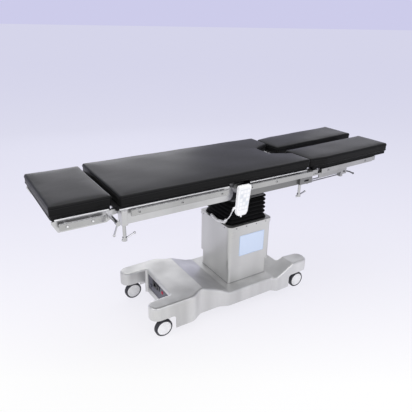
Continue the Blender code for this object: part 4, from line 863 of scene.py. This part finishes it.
# The floor's colour fades with distance along the photo's heading, fixed in the scene's own frame.
floor_radius = 300.0
gradient_start = 2.338
fade_from, fade_to = 3.0, 22.0
glow_share = 0.86
bm = bmesh.new()
bmesh.ops.create_circle(bm, cap_ends=True, segments=96, radius=floor_radius)
floor_material = bpy.data.materials.new("floor_pale")
floor_material.use_nodes = True
n = floor_material.node_tree.nodes
l = floor_material.node_tree.links
shader = n["Principled BSDF"]
shader.inputs["Roughness"].default_value = 0.9
shader.inputs["Specular IOR Level"].default_value = 0.0
coord = n.new("ShaderNodeTexCoord")
split = n.new("ShaderNodeVectorMath")
split.operation = "DOT_PRODUCT"
heading = math.radians(view_heading_deg)
split.inputs[1].default_value = (math.sin(heading), math.cos(heading), 0.0)
l.new(coord.outputs["Object"], split.inputs[0])
reach = n.new("ShaderNodeMath")
reach.operation = "ADD"
reach.inputs[1].default_value = gradient_start
l.new(split.outputs["Value"], reach.inputs[0])
clear = n.new("ShaderNodeMath")
clear.operation = "MAXIMUM"
clear.inputs[1].default_value = 1.0
l.new(reach.outputs[0], clear.inputs[0])
share = n.new("ShaderNodeMath")
share.operation = "DIVIDE"
share.inputs[0].default_value = view_height
l.new(clear.outputs[0], share.inputs[1])
curve = n.new("ShaderNodeValToRGB")
fade(curve)
l.new(share.outputs[0], curve.inputs["Fac"])
length = n.new("ShaderNodeVectorMath")
length.operation = "LENGTH"
l.new(coord.outputs["Object"], length.inputs[0])
distant = n.new("ShaderNodeMapRange")
distant.interpolation_type = "SMOOTHSTEP"
distant.inputs["From Min"].default_value = fade_from
distant.inputs["From Max"].default_value = fade_to
l.new(length.outputs["Value"], distant.inputs["Value"])
ground = n.new("ShaderNodeMix")
ground.data_type = "RGBA"
ground.inputs["B"].default_value = (0.715, 0.713, 0.878, 1)
l.new(distant.outputs["Result"], ground.inputs["Factor"])
l.new(curve.outputs["Color"], ground.inputs["A"])
l.new(ground.outputs["Result"], shader.inputs["Base Color"])
glow = n.new("ShaderNodeEmission")
l.new(ground.outputs["Result"], glow.inputs["Color"])
part_glow = n.new("ShaderNodeMath")
part_glow.operation = "MULTIPLY"
part_glow.inputs[1].default_value = glow_share
l.new(seen_directly(n, l).outputs[0], part_glow.inputs[0])
both = n.new("ShaderNodeMixShader")
l.new(part_glow.outputs[0], both.inputs["Fac"])
l.new(shader.outputs["BSDF"], both.inputs[1])
l.new(glow.outputs["Emission"], both.inputs[2])
l.new(both.outputs["Shader"], n["Material Output"].inputs["Surface"])
floor = to_object("floor", bm, floor_material, None)

world = bpy.data.worlds.new("studio")
scene.world = world
world.use_nodes = True
n = world.node_tree.nodes
l = world.node_tree.links
room = n["Background"]
coord = n.new("ShaderNodeTexCoord")
split = n.new("ShaderNodeSeparateXYZ")
l.new(coord.outputs["Generated"], split.inputs["Vector"])
# What lights the object.
sky = n.new("ShaderNodeValToRGB")
sky.color_ramp.elements[0].position = 0.0
sky.color_ramp.elements[0].color = (0.58, 0.58, 0.68, 1)
sky.color_ramp.elements[1].position = 1.0
sky.color_ramp.elements[1].color = (0.66, 0.66, 0.68, 1)
dim = sky.color_ramp.elements.new(0.35)
dim.color = (0.56, 0.56, 0.585, 1)
l.new(split.outputs["Z"], sky.inputs["Fac"])
l.new(sky.outputs["Color"], room.inputs["Color"])
room.inputs["Strength"].default_value = 0.85
# What the camera, metal and gloss see: lavender at the horizon as in the photo, paler grey overhead.
plain = n.new("ShaderNodeBackground")
overhead = n.new("ShaderNodeValToRGB")
overhead.color_ramp.elements[0].position = 0.06
overhead.color_ramp.elements[0].color = lavender
overhead.color_ramp.elements[1].position = 0.40
overhead.color_ramp.elements[1].color = (0.60, 0.60, 0.64, 1)
l.new(split.outputs["Z"], overhead.inputs["Fac"])
l.new(overhead.outputs["Color"], plain.inputs["Color"])
plain.inputs["Strength"].default_value = 1.0
chosen_sky = n.new("ShaderNodeMixShader")
l.new(seen_directly(n, l).outputs[0], chosen_sky.inputs["Fac"])
l.new(room.outputs["Background"], chosen_sky.inputs[1])
l.new(plain.outputs["Background"], chosen_sky.inputs[2])
l.new(chosen_sky.outputs["Shader"], n["World Output"].inputs["Surface"])


def area_light(name, place, target, size, energy):
    data = bpy.data.lights.new(name, "AREA")
    data.shape = "RECTANGLE"
    data.size = size[0]
    data.size_y = size[1]
    data.energy = energy
    obj = bpy.data.objects.new(name, data)
    obj.location = place
    obj.rotation_euler = (Vector(target) - Vector(place)).to_track_quat("-Z", "Y").to_euler()
    scene.collection.objects.link(obj)


area_light("front_box", (-0.4, -3.8, 2.4), (0, 0, 0.5), (4.6, 3.0), 66)
area_light("top_box", (0.2, 0.6, 3.5), (0, 0, 0.6), (4.4, 3.2), 66)
area_light("left_box", (-3.4, -0.6, 2.0), (0, 0, 0.5), (2.0, 1.6), 20)
area_light("back_box", (0.7, 4.3, 1.58), (-0.4, 0, 0.8), (2.8, 1.1), 20)
area_light("foot_box", (4.2, 2.7, 1.9), (0.8, 0, 0.8), (1.3, 1.0), 3.5)
